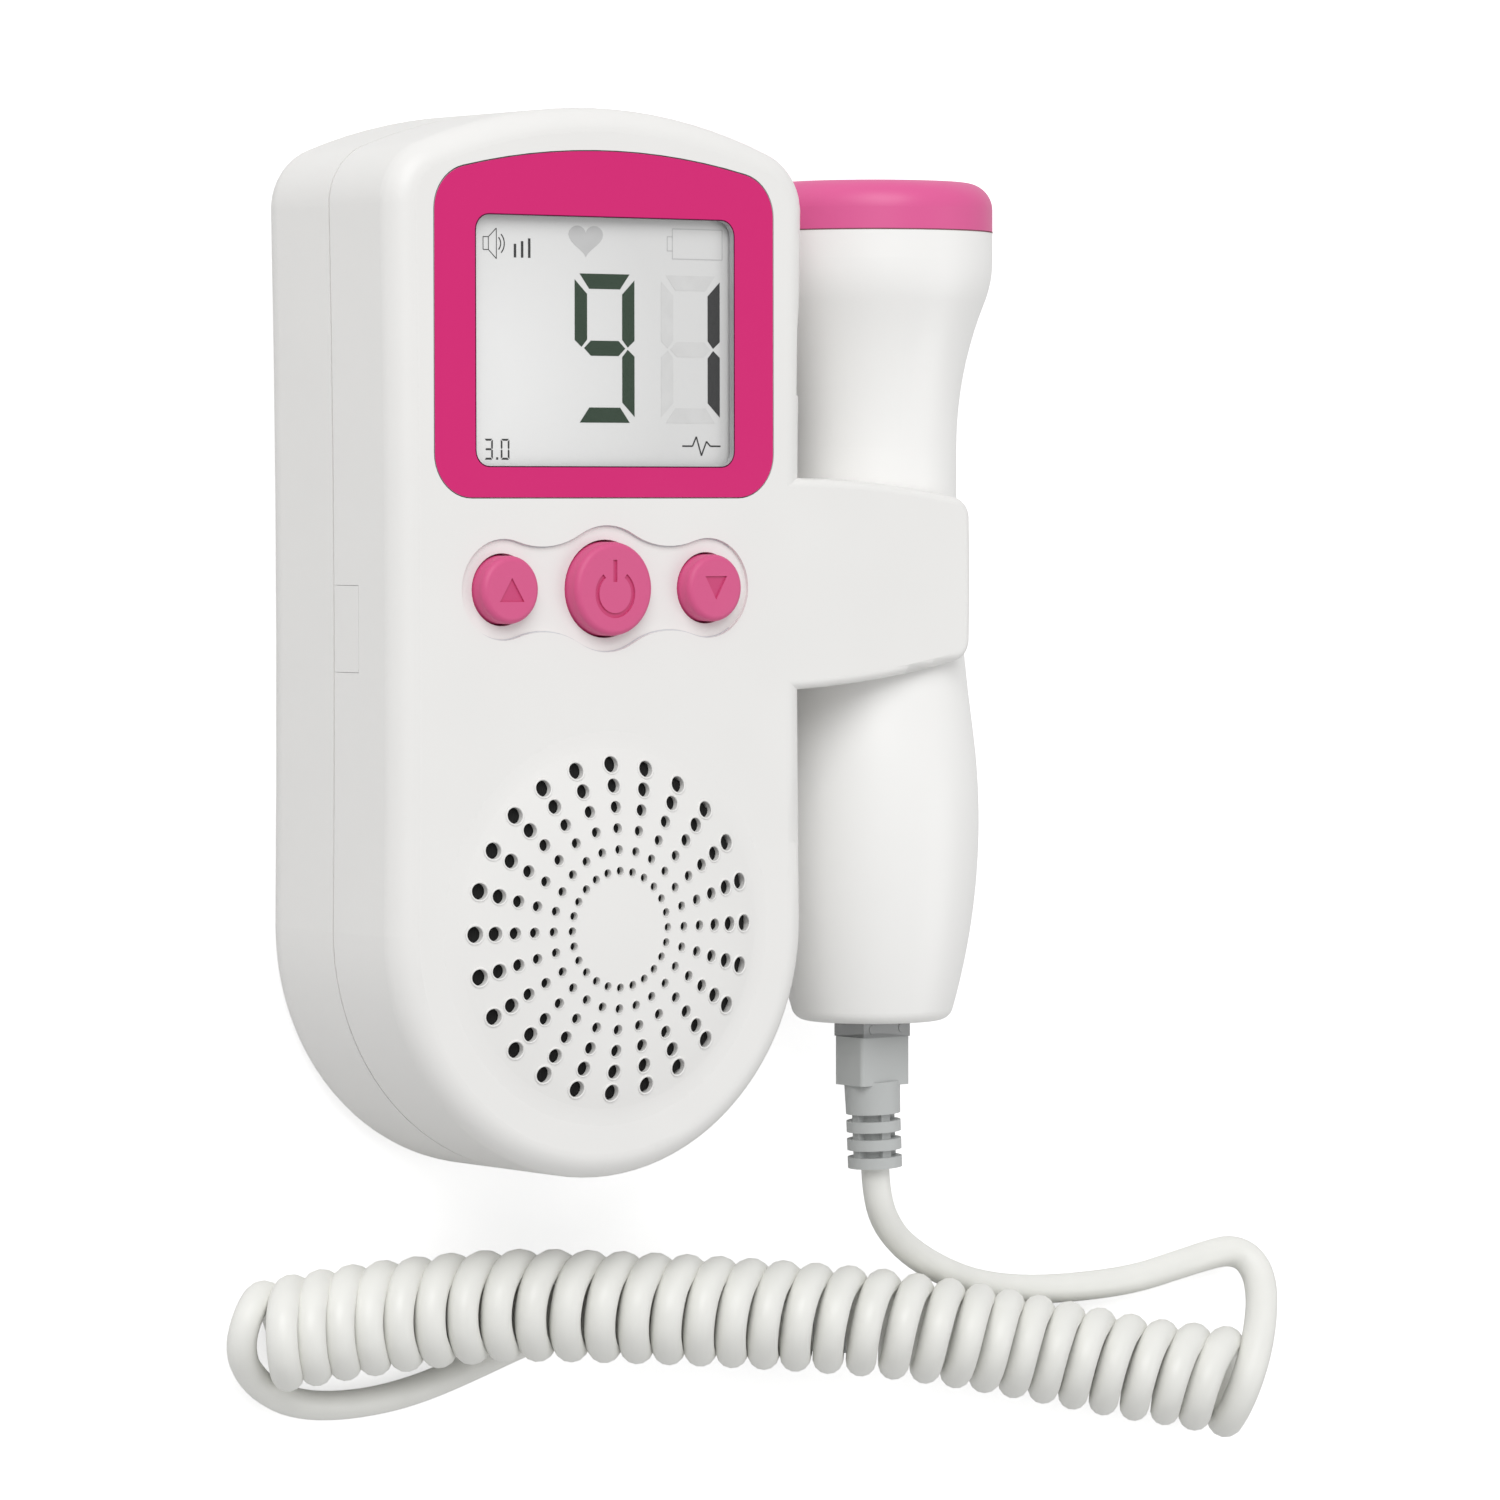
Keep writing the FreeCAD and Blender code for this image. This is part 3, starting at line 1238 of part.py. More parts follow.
# ---------------------------------------------------------------- lead
LEAD_ROUTE = (
    (57.6, -80.1, 13.7), (65.6, -83.8, 9.2), (76.6, -86.6, 4.4),
    (88.0, -89.2, 2.2), (99.2, -90.6, 1.95), (110.0, -90.2, 1.95), (118.4, -88.6, 1.95),
    (124.8, -87.2, 2.4), (128.8, -88.5, 4.4), (129.5, -92.3, 7.0), (127.7, -96.3, 9.5),
    (125.2, -99.6, 11.4), (122.6, -102.4, 12.3),
)
"""Lead along the table and up onto the last turn of the coil, after its straight start."""
COIL_ROUTE = (
    (124.0, -104.9, 7.4), (111.0, -102.8, 7.4), (99.5, -100.3, 7.6), (90.0, -98.1, 8.4),
    (80.0, -95.9, 10.2), (68.5, -93.5, 13.2), (56.0, -91.2, 15.2), (42.0, -89.3, 15.8),
    (26.0, -87.4, 15.6), (10.7, -85.9, 14.5), (-2.6, -85.0, 11.4), (-16.4, -85.7, 8.3),
    (-26.0, -86.3, 7.5), (-34.4, -87.2, 7.4),
)
"""Middle line of the coil, which rises over the free plug that lies beneath it."""
FREE_ROUTE = (
    (-33.6, -82.0, 8.2), (-38.1, -83.0, 9.3), (-40.1, -87.0, 8.6), (-38.4, -91.2, 6.2),
    (-33.2, -95.0, 3.6), (-27.5, -97.0, 2.2), (-21.5, -97.6, 1.95), (-15.0, -97.3, 1.95),
    (-8.6, -96.2, 1.95), (-1.6, -94.2, 1.95), (4.6, -92.2, 2.0), (10.0, -90.5, 2.3),
    (15.2, -89.0, 3.1),
)
"""Lead from the first turn of the coil to the free plug under it."""
FREE_PLUG = (42.9, -90.5, 4.45)
"""Where the free plug ends and its strain relief starts."""
FREE_ANGLE = -97.0
"""The free plug's heading, turned from +Y."""
ARC_SHARE = 0.45
"""How much of its shorter run an arc of the route takes."""
START_RUN = 5.6
"""Straight run of lead at a strain relief."""


def run_wire(points):
    """Straight runs joined by tangent arcs, each as large as its two runs allow."""
    stops = [Vector(*p) for p in points]
    edges, start, radii = [], stops[0], []
    for before, here, after in zip(stops, stops[1:], stops[2:]):
        back, on = before - here, after - here
        reach = ARC_SHARE * min(back.Length, on.Length)
        turn = math.pi - back.getAngle(on)
        radii.append(round(reach / math.tan(turn / 2), 1))
        one = here + back.normalize() * reach
        two = here + on.normalize() * reach
        inward = (one + two) * 0.5 - here
        depth = corner_depth(reach, turn)
        middle = here + inward.normalize() * depth
        edges.append(Part.LineSegment(start, one).toShape())
        edges.append(Part.Arc(one, middle, two).toShape())
        start = two
    edges.append(Part.LineSegment(start, stops[-1]).toShape())
    return Part.Wire(edges), radii


def corner_depth(reach, turn):
    """Distance from a corner of the route to the middle of its arc."""
    radius = reach / math.tan(turn / 2)
    return radius / math.cos(turn / 2) - radius


def tube(name, points, radius):
    """A round tube along a route."""
    wire, radii = run_wire(points)
    path = doc.addObject("Part::Feature", name + "_path")
    path.Shape = wire
    ring = doc.addObject("Part::Circle", name + "_ring")
    bind(ring, Radius=radius)
    way = Vector(*points[1]) - Vector(*points[0])
    ring.Placement = Placement(Vector(*points[0]), Rotation(Z_WAY, way))
    made = doc.addObject("Part::Sweep", name + "_tube")
    made.Sections = [ring]
    made.Spine = (path, ["Edge%d" % i for i in range(1, len(wire.Edges) + 1)])
    made.Solid = True
    made.Frenet = False
    doc.recompute()
    ideal = math.pi * radius.value ** 2 * wire.Length
    print("%s: length %.0f, volume ratio %.4f, radii %s"
          % (name, wire.Length, made.Shape.Volume / ideal, radii))
    return node(name, made)


def heading(angle):
    """Way from a strain relief's cord end to its plug, turned from +Y by an angle."""
    return Vector(-math.sin(math.radians(angle)), math.cos(math.radians(angle)), 0)


def cord_end(plug_place, angle):
    """Middle of the cord end of a strain relief, and the way out of it."""
    out = -heading(angle + S.boot_lean.value)
    block_end = plug_place - heading(angle) * S.boot_block.value
    return block_end + out * (-RIBS_END.value), out


def leads():
    plug_place = Vector(S.probe_x.value, PLUG_Y.value, S.probe_z.value)
    start, out = cord_end(plug_place, 0)
    print("lead start", start, "free start", cord_end(Vector(*FREE_PLUG), FREE_ANGLE))
    tube("probe_lead", (tuple(start), tuple(start + out * START_RUN), *LEAD_ROUTE), S.cord_radius)
    tube("cord_coil", COIL_ROUTE, S.coil_radius)
    end, out = cord_end(Vector(*FREE_PLUG), FREE_ANGLE)
    tube("free_lead", (*FREE_ROUTE, tuple(end + out * START_RUN), tuple(end)), S.cord_radius)


def free_end():
    """The plug and strain relief on the lead's other end, lying flat under the coil."""
    boot("free_boot", FREE_PLUG, FREE_ANGLE)
    plug("free_plug", FREE_PLUG, FREE_ANGLE)


# ---------------------------------------------------------------- assembly
front_shell()
side_port_cover()
rear_shell()
battery_door()
shell_screws()
battery_pieces()
display_bezel()
display_stack()
main_board()
board_chips()
push_switches()
for name, x, radius in BUTTONS:
    button(name, x, radius)
loudspeaker()
socket("cable_socket", S.unit_socket_x, SOCKET_Y, S.unit_socket_z)
probe_body()
probe_inside()
socket("probe_socket", S.probe_x, S.tail_end, S.probe_z)
plug("probe_plug", (S.probe_x, PLUG_Y, S.probe_z), 0)
boot("probe_boot", (S.probe_x, PLUG_Y, S.probe_z), 0)
leads()
free_end()
doc.recompute()

bad = [o.Name for o in doc.Objects if "Invalid" in o.State or "Error" in o.State]
if bad:
    raise RuntimeError("these objects failed: " + ", ".join(bad))
os.makedirs("parts", exist_ok=True)
for name, thing in parts.items():
    shape = thing.Shape
    if shape.isNull() or not shape.isValid() or not shape.Solids:
        raise RuntimeError(name + " has no valid shape")
    shape.exportStep("parts/%s.step" % name)
    print("%-22s %2d solids %9.1f mm3" % (name, len(shape.Solids), shape.Volume))
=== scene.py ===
"""Finish of a pocket fetal doppler: mouldings, display, buttons, sound holes and its coiled lead.

Everything is in metres in the frame of the solids: the handset lies on its back, +X points to the
probe, +Y to the display end and +Z out of the front.
"""

import json
import math

import bmesh
import bpy
from bpy.props import FloatProperty, FloatVectorProperty, IntProperty, PointerProperty
from mathutils import Matrix, Vector


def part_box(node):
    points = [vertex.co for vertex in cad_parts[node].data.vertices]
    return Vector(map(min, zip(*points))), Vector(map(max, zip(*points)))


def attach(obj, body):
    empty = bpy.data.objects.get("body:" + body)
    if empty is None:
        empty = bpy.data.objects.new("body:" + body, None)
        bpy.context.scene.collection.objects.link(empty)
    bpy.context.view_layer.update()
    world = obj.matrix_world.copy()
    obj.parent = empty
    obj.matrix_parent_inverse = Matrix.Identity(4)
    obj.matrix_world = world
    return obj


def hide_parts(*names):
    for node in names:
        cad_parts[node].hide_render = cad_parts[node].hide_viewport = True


bl_info = {
    "name": "Fetal Doppler Finish",
    "version": (1, 0, 0),
    "blender": (4, 5, 0),
    "location": "View3D > Sidebar > Doppler",
    "description": "Finishes, display, icons and coiled lead of a pocket fetal doppler",
    "category": "Object",
}

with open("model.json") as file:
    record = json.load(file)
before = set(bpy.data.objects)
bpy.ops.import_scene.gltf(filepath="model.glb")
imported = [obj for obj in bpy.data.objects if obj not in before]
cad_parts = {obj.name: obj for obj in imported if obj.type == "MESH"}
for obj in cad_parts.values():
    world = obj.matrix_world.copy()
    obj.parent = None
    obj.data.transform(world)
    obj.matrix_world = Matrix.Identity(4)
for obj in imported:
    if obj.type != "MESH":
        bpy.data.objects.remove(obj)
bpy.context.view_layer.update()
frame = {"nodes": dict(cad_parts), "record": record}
NODES = frame["nodes"]


# ---------------------------------------------------------------- places read from the solids
def low(node):
    return Vector(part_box(node)[0])


def high(node):
    return Vector(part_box(node)[1])


def middle(node):
    return (low(node) + high(node)) / 2


SPEAKER = middle("speaker_cone")
FACE = high("display_bezel").z
LCD_TOP = high("lcd_panel").z


# ---------------------------------------------------------------- settings that a user may change
def length(name, default, description):
    return FloatProperty(name=name, description=description, default=default, min=0,
                         subtype="DISTANCE", unit="LENGTH", precision=5)


def tint(name, default, description):
    return FloatVectorProperty(name=name, description=description, default=default, size=4,
                               min=0, max=1, subtype="COLOR")


def ratio(name, default, description, least=0.0, most=100.0):
    return FloatProperty(name=name, description=description, default=default, min=least, max=most)


def number(name, default, description, least):
    return IntProperty(name=name, description=description, default=default, min=least)


def power(name, default, description):
    return FloatProperty(name=name, description=description, default=default, min=0,
                         subtype="POWER", unit="POWER")


class DopplerColours(bpy.types.PropertyGroup):
    """Colours of the mouldings, the display and the lead, in linear light."""

    shell: tint("Shell", (0.842, 0.835, 0.819, 1), "White mouldings of the handset and the probe")
    probe: tint("Probe", (0.92, 0.915, 0.90, 1), "Whiter moulding of the probe's handle")
    bezel: tint("Bezel", (0.655, 0.0115, 0.168, 1), "Display bezel")
    edge: tint("Bezel edge", (0.42, 0.42, 0.43, 1), "Cut edges of the bezel")
    button: tint("Buttons", (0.68, 0.092, 0.25, 1), "Buttons")
    # Painted shade: the signs' floors are darker than the buttons for the shade in their recesses.
    sign: tint("Button signs", (0.60, 0.054, 0.185, 1), "Floor of the signs in the buttons")
    cap: tint("Cap", (0.74, 0.105, 0.31, 1), "Cap of the probe")
    display: tint("Display", (0.70, 0.70, 0.695, 1), "Display with its segments off")
    segment: tint("Segments", (0.032, 0.058, 0.036, 1), "Segments that are on")
    dark: tint("Dark segments", (0.044, 0.044, 0.045, 1), "Last digit and the small signs")
    ghost: tint("Resting segments", (0.672, 0.672, 0.667, 1), "Segments that are off")
    sign_off: tint("Resting signs", (0.56, 0.56, 0.56, 1), "Heart and battery sign")
    cord: tint("Lead", (0.87, 0.87, 0.833, 1), "Jacket of the lead")
    boot: tint("Strain relief", (0.50, 0.515, 0.51, 1), "Strain reliefs")


class DopplerStage(bpy.types.PropertyGroup):
    """Camera and light."""

    lens: FloatProperty(name="Focal length", description="Lens on a 36 mm wide frame",
                        default=166.97, min=1, subtype="DISTANCE_CAMERA")
    world: ratio("World light", 0.53, "Strength of the even light")
    glow: ratio("Floor glow", 0.60, "Light of its own that the floor shows")
    key: power("Key light", 10.8, "Power of the large lamp")
    fill: power("Fill light", 1.6, "Power of the small lamp")


class DopplerLead(bpy.types.PropertyGroup):
    """The coiled lead."""

    diameter: length("Thickness", 0.0038, "Diameter of the lead")
    coil_radius: length("Coil radius", 0.0053, "Middle line of a turn from the coil's middle")
    turns: number("Turns", 31, "Turns of the coil", 3)
    points: number("Points", 16, "Points of the spline in one turn", 12)
    joined: number("Joined", 9, "Points of the first turn that the lead's end replaces", 0)
    lean: ratio("Lean", 1.0, "Most that a turn leans along the coil")
    squeeze: ratio("Squeeze", 0.87, "Room that a turn takes, as a share of its thickness", 0.5, 1.5)
    swell: ratio("Swell", 1.07, "Thickness in the coil, as a share of the plain lead's", 1, 1.1)
    thicker: ratio("Thicker end", 0.13, "What the last strand adds to its thickness", 0, 0.2)


class DopplerGrille(bpy.types.PropertyGroup):
    """Sound holes of the speaker dome."""

    spokes: number("Rows", 24, "Rows of holes round the dome", 3)
    first: length("Innermost hole", 0.00735, "From the middle of the dome")
    step: length("Hole spacing", 0.00267, "From one hole of a row to the next")
    dome_radius: length("Dome radius", 0.0238, "Foot of the dome")
    dome_rise: length("Dome rise", 0.0030, "Dome above the front face")
    lip: ratio("Lip", 0.13, "Rounded lip of a hole, as a share of its radius", 0.01, 0.5)


class DopplerDisplay(bpy.types.PropertyGroup):
    """Signs of the display and buttons, and fine lines of painted shade by the bezel, tray and cap.
    """

    digit_width: length("Digit width", 0.0092, "Large digits")
    digit_height: length("Digit height", 0.0187, "Large digits")
    stroke: length("Segment width", 0.0019, "Large digits")
    gap: length("Segment gap", 0.00028, "Between two segments")
    panel_lap: length("Panel lap", 0.0011, "Display panel behind the rim of the bezel")
    window_corner: length("Window corner", 0.0020, "Corner radius of the bezel's opening")
    # Painted shade: the dark line round the bezel's opening stands in for the shade along its rim.
    window_line: length("Window line", 0.00014, "Dark line round the opening")
    tray_floor: length("Tray floor", 0.0307, "Height of the tray round the buttons")
    # Painted shade: the grey line along the foot of the tray's wall stands in for the shade there.
    tray_line: length("Tray line", 0.00017, "Fine joint along the foot of the tray's wall")
    engraving: length("Engraving", 0.00027, "Depth of the signs in the buttons")
    cap_seam: length("Cap seam", 0.0533, "Joint between the probe's body and its cap, along Y")
    # Width of the ring of painted shade in the seam of the probe's cap.
    cap_joint: length("Cap joint", 0.00016, "Width of that joint")


GROUPS = (DopplerColours, DopplerStage, DopplerLead, DopplerGrille, DopplerDisplay)
SETTINGS = ("doppler_colours", "doppler_stage", "doppler_lead", "doppler_grille", "doppler_display")


def settings(name):
    return getattr(bpy.context.scene, "doppler_" + name)


# ---------------------------------------------------------------- mesh helpers
def new_object(name, mesh, body=None):
    made = bpy.data.objects.new(name, mesh)
    bpy.context.scene.collection.objects.link(made)
    if body:
        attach(made, body)
    return made


def settled(source):
    """The plain mesh of an object with its modifiers applied."""
    bpy.context.view_layer.update()
    graph = bpy.context.evaluated_depsgraph_get()
    return bpy.data.meshes.new_from_object(source.evaluated_get(graph))


def prisms(name, outlines, top, depth):
    """One mesh of flat shapes: each outline of (x, y) corners, from top down by depth."""
    shape = bmesh.new()
    for outline in outlines:
        upper = [shape.verts.new((x, y, top)) for x, y in outline]
        lower = [shape.verts.new((x, y, top - depth)) for x, y in outline]
        shape.faces.new(upper)
        shape.faces.new(lower[::-1])
        for i, corner in enumerate(upper):
            after = (i + 1) % len(upper)
            shape.faces.new((corner, lower[i], lower[after], upper[after]))
    bmesh.ops.recalc_face_normals(shape, faces=shape.faces)
    mesh = bpy.data.meshes.new(name)
    shape.to_mesh(mesh)
    shape.free()
    return mesh


def moved(outline, x, y, scale=1.0):
    return [(x + px * scale, y + py * scale) for px, py in outline]


def rectangle(left, foot, right, head):
    return [(left, foot), (right, foot), (right, head), (left, head)]


def band(path, width):
    """Outline of a stroke of even width along a flat path."""
    left, right = [], []
    for i, (x, y) in enumerate(path):
        before = path[max(i - 1, 0)]
        after = path[min(i + 1, len(path) - 1)]
        way = Vector((after[0] - before[0], after[1] - before[1])).normalized()
        left.append((x - way.y * width / 2, y + way.x * width / 2))
        right.append((x + way.y * width / 2, y - way.x * width / 2))
    return left + right[::-1]


def arc(radius, start, end, steps=24):
    """Points on a circle about the origin, from one angle to another in degrees."""
    angles = [math.radians(start + (end - start) * i / steps) for i in range(steps + 1)]
    return [(radius * math.cos(a), radius * math.sin(a)) for a in angles]


def rounded_loop(half_x, half_y, corner):
    """Points round a rectangle with round corners, about its middle."""
    path = []
    for quarter, (x, y) in enumerate(((1, 1), (-1, 1), (-1, -1), (1, -1))):
        bow = arc(corner, quarter * 90, quarter * 90 + 90, 6)
        path += moved(bow, x * (half_x - corner), y * (half_y - corner))
    return path


# ---------------------------------------------------------------- materials
OWN = "doppler_"
"""Start of the names of the materials made here, apart from those that the solids come with."""
GRAIN_SIZE = 2600
GRAIN_DEPTH = 0.00006
"""Scale and depth of the spark-eroded grain on a moulding."""
GLOW_REACH = 0.030
GLOW_LAMP = Vector((0.019, 0.005))
# How far the display's painted glow reaches, and how far its lamp lies to the lower left of the
# middle.
"""How far the display's lamp reaches, and how far it lies to the lower left of the middle."""
GLOW_GAIN = 1.2
# How much brighter the painted glow makes the panel at its lamp.
"""How much brighter the panel is at its lamp."""


class Finish:
    """A material under construction: a principled shader and the nodes that feed it."""

    def __init__(self, name, colour, roughness=0.4, **sockets):
        self.material = bpy.data.materials.new(OWN + name)
        self.material.use_nodes = True
        self.nodes = self.material.node_tree.nodes
        self.links = self.material.node_tree.links
        self.shader = self.nodes["Principled BSDF"]
        self.shader.inputs["Base Color"].default_value = colour
        self.shader.inputs["Roughness"].default_value = roughness
        for socket, value in sockets.items():
            self.shader.inputs[socket.replace("_", " ")].default_value = value

    def add(self, kind, **values):
        made = self.nodes.new("ShaderNode" + kind)
        for socket, value in values.items():
            made.inputs[socket.replace("_", " ")].default_value = value
        return made

    def places(self, stretch=(1, 1, 1)):
        """Object coordinates, stretched along the axes."""
        source = self.add("TexCoord")
        mapping = self.add("Mapping", Scale=stretch)
        self.links.new(source.outputs["Object"], mapping.inputs["Vector"])
        return mapping.outputs["Vector"]

    def noise(self, scale, detail=2.0, stretch=(1, 1, 1)):
        made = self.add("TexNoise", Scale=scale, Detail=detail)
        self.links.new(self.places(stretch), made.inputs["Vector"])
        return made.outputs["Fac"]

    def ramp(self, fac, colours, spots=(0.35, 0.65)):
        made = self.add("ValToRGB")
        for element, colour, spot in zip(made.color_ramp.elements, colours, spots):
            element.color = colour
            element.position = spot
        self.links.new(fac, made.inputs["Fac"])
        return made.outputs["Color"]

    def mottle(self, colour, amount=0.03, scale=60):
        """Slight uneven tone, as a thick moulding has."""
        darker = tuple(c * (1 - amount) for c in colour[:3]) + (1,)
        tone = self.ramp(self.noise(scale), (darker, colour))
        self.links.new(tone, self.shader.inputs["Base Color"])
        return self

    def sheen_spread(self, rough, smooth, scale=90):
        """Roughness that wanders between two values."""
        grey = ((smooth,) * 3 + (1,), (rough,) * 3 + (1,))
        self.links.new(self.ramp(self.noise(scale), grey), self.shader.inputs["Roughness"])
        return self

    def grain(self, scale, strength, distance, detail=3.0, stretch=(1, 1, 1)):
        """Fine relief of the moulded surface."""
        bump = self.add("Bump", Strength=strength, Distance=distance)
        self.links.new(self.noise(scale, detail, stretch), bump.inputs["Height"])
        self.links.new(bump.outputs["Normal"], self.shader.inputs["Normal"])
        return self


def moulded(name, colour, roughness, grain=0.05, **sockets):
    """Injection moulded plastic: faint mottle and a spark-eroded grain."""
    made = Finish(name, tuple(colour), roughness, **sockets)
    made.mottle(tuple(colour), amount=0.012)
    made.sheen_spread(rough=roughness + 0.05, smooth=roughness - 0.05)
    return made.grain(GRAIN_SIZE, grain, GRAIN_DEPTH).material


def metal(name, colour, roughness, stretch):
    """Metal with a brushed or rolled direction."""
    made = Finish(name, colour, roughness, Metallic=1.0)
    made.sheen_spread(rough=roughness + 0.1, smooth=roughness - 0.05, scale=400)
    made.grain(scale=1800, strength=0.15, distance=0.00005, detail=2, stretch=stretch)
    return made.material


def clear(name, colour, alpha, roughness=0.06):
    """Thin clear plastic with a soft gloss."""
    made = Finish(name, colour, roughness, Alpha=alpha, Specular_IOR_Level=0.6)
    return made.grain(scale=220, strength=0.03, distance=0.0001).material


def woven(name, colour):
    """Tight dust cloth: two crossed sets of threads."""
    made = Finish(name, colour, roughness=0.9)
    heights = []
    for stretch in ((1, 0, 0), (0, 1, 0)):
        wave = made.add("TexWave", Scale=650.0)
        made.links.new(made.places(stretch), wave.inputs["Vector"])
        heights.append(wave.outputs["Fac"])
    weave = made.add("Math")
    weave.operation = "MAXIMUM"
    for socket, source in zip(weave.inputs, heights):
        made.links.new(source, socket)
    bump = made.add("Bump", Strength=0.6, Distance=0.0001)
    made.links.new(weave.outputs["Value"], bump.inputs["Height"])
    made.links.new(bump.outputs["Normal"], made.shader.inputs["Normal"])
    return made.material


def flat_print(name, colour):
    """Liquid crystal segments and prints: even and without gloss."""
    made = Finish(name, tuple(colour), roughness=0.7, Specular_IOR_Level=0.0)
    return made.mottle(tuple(colour), amount=0.04, scale=500).material


def edged(name, colour, edge):
    """A print on the front of a plate whose cut edges show the pale plastic."""
    made = Finish(name, tuple(colour), roughness=0.4, Specular_IOR_Level=0.3)
    made.sheen_spread(rough=0.45, smooth=0.35)
    made.grain(GRAIN_SIZE, strength=0.03, distance=GRAIN_DEPTH)
    source = made.add("TexCoord")
    split = made.add("SeparateXYZ")
    made.links.new(source.outputs["Normal"], split.inputs["Vector"])
    front = made.ramp(split.outputs["Z"], (tuple(edge), tuple(colour)), (0.45, 0.55))
    made.links.new(front, made.shader.inputs["Base Color"])
    return made.material


def painted_display_glow(name, colour):
    """The lit panel, its glow painted into its colour: brighter towards one corner, where the lamp
    behind it stands.
    """
    made = Finish(name, tuple(colour), roughness=0.45)
    lamp = middle("lcd_panel").xy - GLOW_LAMP
    gradient = made.add("TexGradient")
    gradient.gradient_type = "SPHERICAL"
    source = made.add("TexCoord")
    mapping = made.add("Mapping")
    mapping.inputs["Location"].default_value = (-lamp.x / GLOW_REACH, -lamp.y / GLOW_REACH, 0)
    mapping.inputs["Scale"].default_value = (1 / GLOW_REACH, 1 / GLOW_REACH, 0)
    made.links.new(source.outputs["Object"], mapping.inputs["Vector"])
    made.links.new(mapping.outputs["Vector"], gradient.inputs["Vector"])
    lit = tuple(min(1.0, c * GLOW_GAIN) for c in colour[:3]) + (1,)
    tone = made.ramp(gradient.outputs["Fac"], (tuple(colour), lit), (0.0, 0.8))
    made.links.new(tone, made.shader.inputs["Base Color"])
    return made.material


def jacket(name, colour):
    """Soft jacket of the lead, with faint rings from its extrusion."""
    made = Finish(name, tuple(colour), roughness=0.42)
    made.mottle(tuple(colour), amount=0.03, scale=140)
    made.sheen_spread(rough=0.5, smooth=0.36, scale=220)
    return made.grain(scale=1500, strength=0.06, distance=0.00005).material


def finishes():
    """Every material by its slot in the record."""
    colours = settings("colours")
    recipes = {
        "shell_white": (moulded, colours.shell, 0.42),
        "probe_white": (moulded, colours.probe, 0.36),
        "bezel_magenta": (edged, colours.bezel, colours.edge),
        "button_pink": (moulded, colours.button, 0.5, 0.12),
        "cap_pink": (moulded, colours.cap, 0.42, 0.05),
        "clear_window": (clear, (0.95, 0.96, 0.96, 1), 0.015),
        "lcd_grey": (painted_display_glow, colours.display),
        "light_guide": (moulded, (0.9, 0.9, 0.87, 1), 0.3),
        "board_green": (moulded, (0.02, 0.17, 0.08, 1), 0.35, 0.2),
        "part_black": (moulded, (0.03, 0.03, 0.03, 1), 0.5),
        "cone_black": (moulded, (0.03, 0.03, 0.032, 1), 0.8, 0.4),
        "cloth_black": (woven, (0.004, 0.004, 0.004, 1)),
        "plated_steel": (metal, (0.6, 0.6, 0.6, 1), 0.3, (1, 1, 8)),
        "magnet_steel": (metal, (0.35, 0.35, 0.36, 1), 0.35, (1, 1, 6)),
        "cell_sleeve": (moulded, (0.12, 0.13, 0.14, 1), 0.35),
        "gilt_contact": (metal, (0.83, 0.62, 0.25, 1), 0.25, (6, 1, 1)),
        "socket_black": (moulded, (0.03, 0.03, 0.032, 1), 0.45),
        "disc_ceramic": (moulded, (0.68, 0.66, 0.58, 1), 0.6),
        "plug_clear": (clear, (0.30, 0.31, 0.31, 1), 0.75, 0.15),
        "boot_grey": (moulded, colours.boot, 0.5, 0.1),
        "cord_white": (jacket, colours.cord),
        "segment_on": (flat_print, colours.segment),
        "segment_dark": (flat_print, colours.dark),
        "segment_off": (flat_print, colours.ghost),
        "sign_off": (flat_print, colours.sign_off),
        # Painted shade in the recesses of the button signs.
        "sign_floor": (moulded, colours.sign, 0.55, 0.1),
        # Painted shade along the rim of the bezel's opening.
        "window_line": (flat_print, (0.06, 0.01, 0.03, 1)),
        # Painted shade along the foot of the tray's wall.
        "tray_line": (flat_print, (0.66, 0.68, 0.70, 1)),
        # Painted shade in the seam between the probe's body and its cap.
        "cap_joint": (flat_print, (0.23, 0.09, 0.11, 1)),
    }
    return {name: make(name, *rest) for name, (make, *rest) in recipes.items()}


def dress(thing, material):
    thing.data.materials.clear()
    thing.data.materials.append(material)


def finish_of(name):
    found = bpy.data.materials.get(OWN + name)
    if found is None:
        raise RuntimeError("the finish %s is missing, so run the finishes first" % name)
    return found


# ---------------------------------------------------------------- the lead
LEAD_START = (0.05358, -0.07009, 0.0166)
"""Where the lead leaves the probe's strain relief."""
LEAD_ROUTE = (
    (0.05375, -0.0733, 0.0166), (0.0559, -0.0774, 0.0154), (0.0610, -0.0813, 0.0127),
    (0.0696, -0.0852, 0.0085), (0.0797, -0.0885, 0.0047), (0.0894, -0.0902, 0.0025),
    (0.0992, -0.0906, 0.00195), (0.1100, -0.0902, 0.00195), (0.1184, -0.0886, 0.00195),
    (0.1236, -0.0876, 0.0021), (0.1269, -0.0871, 0.0025), (0.1292, -0.0880, 0.0037),
    (0.1298, -0.0903, 0.0055), (0.1287, -0.0934, 0.0076), (0.1264, -0.0969, 0.0099),
    (0.1237, -0.1007, 0.0119), (0.1217, -0.1048, 0.0122), (0.1214, -0.1081, 0.0104),
    (0.1223, -0.1104, 0.0076), (0.1238, -0.1107, 0.0049), (0.1253, -0.1089, 0.0030),
)
"""From the strain relief along the table, up over the end of the coil and under it."""
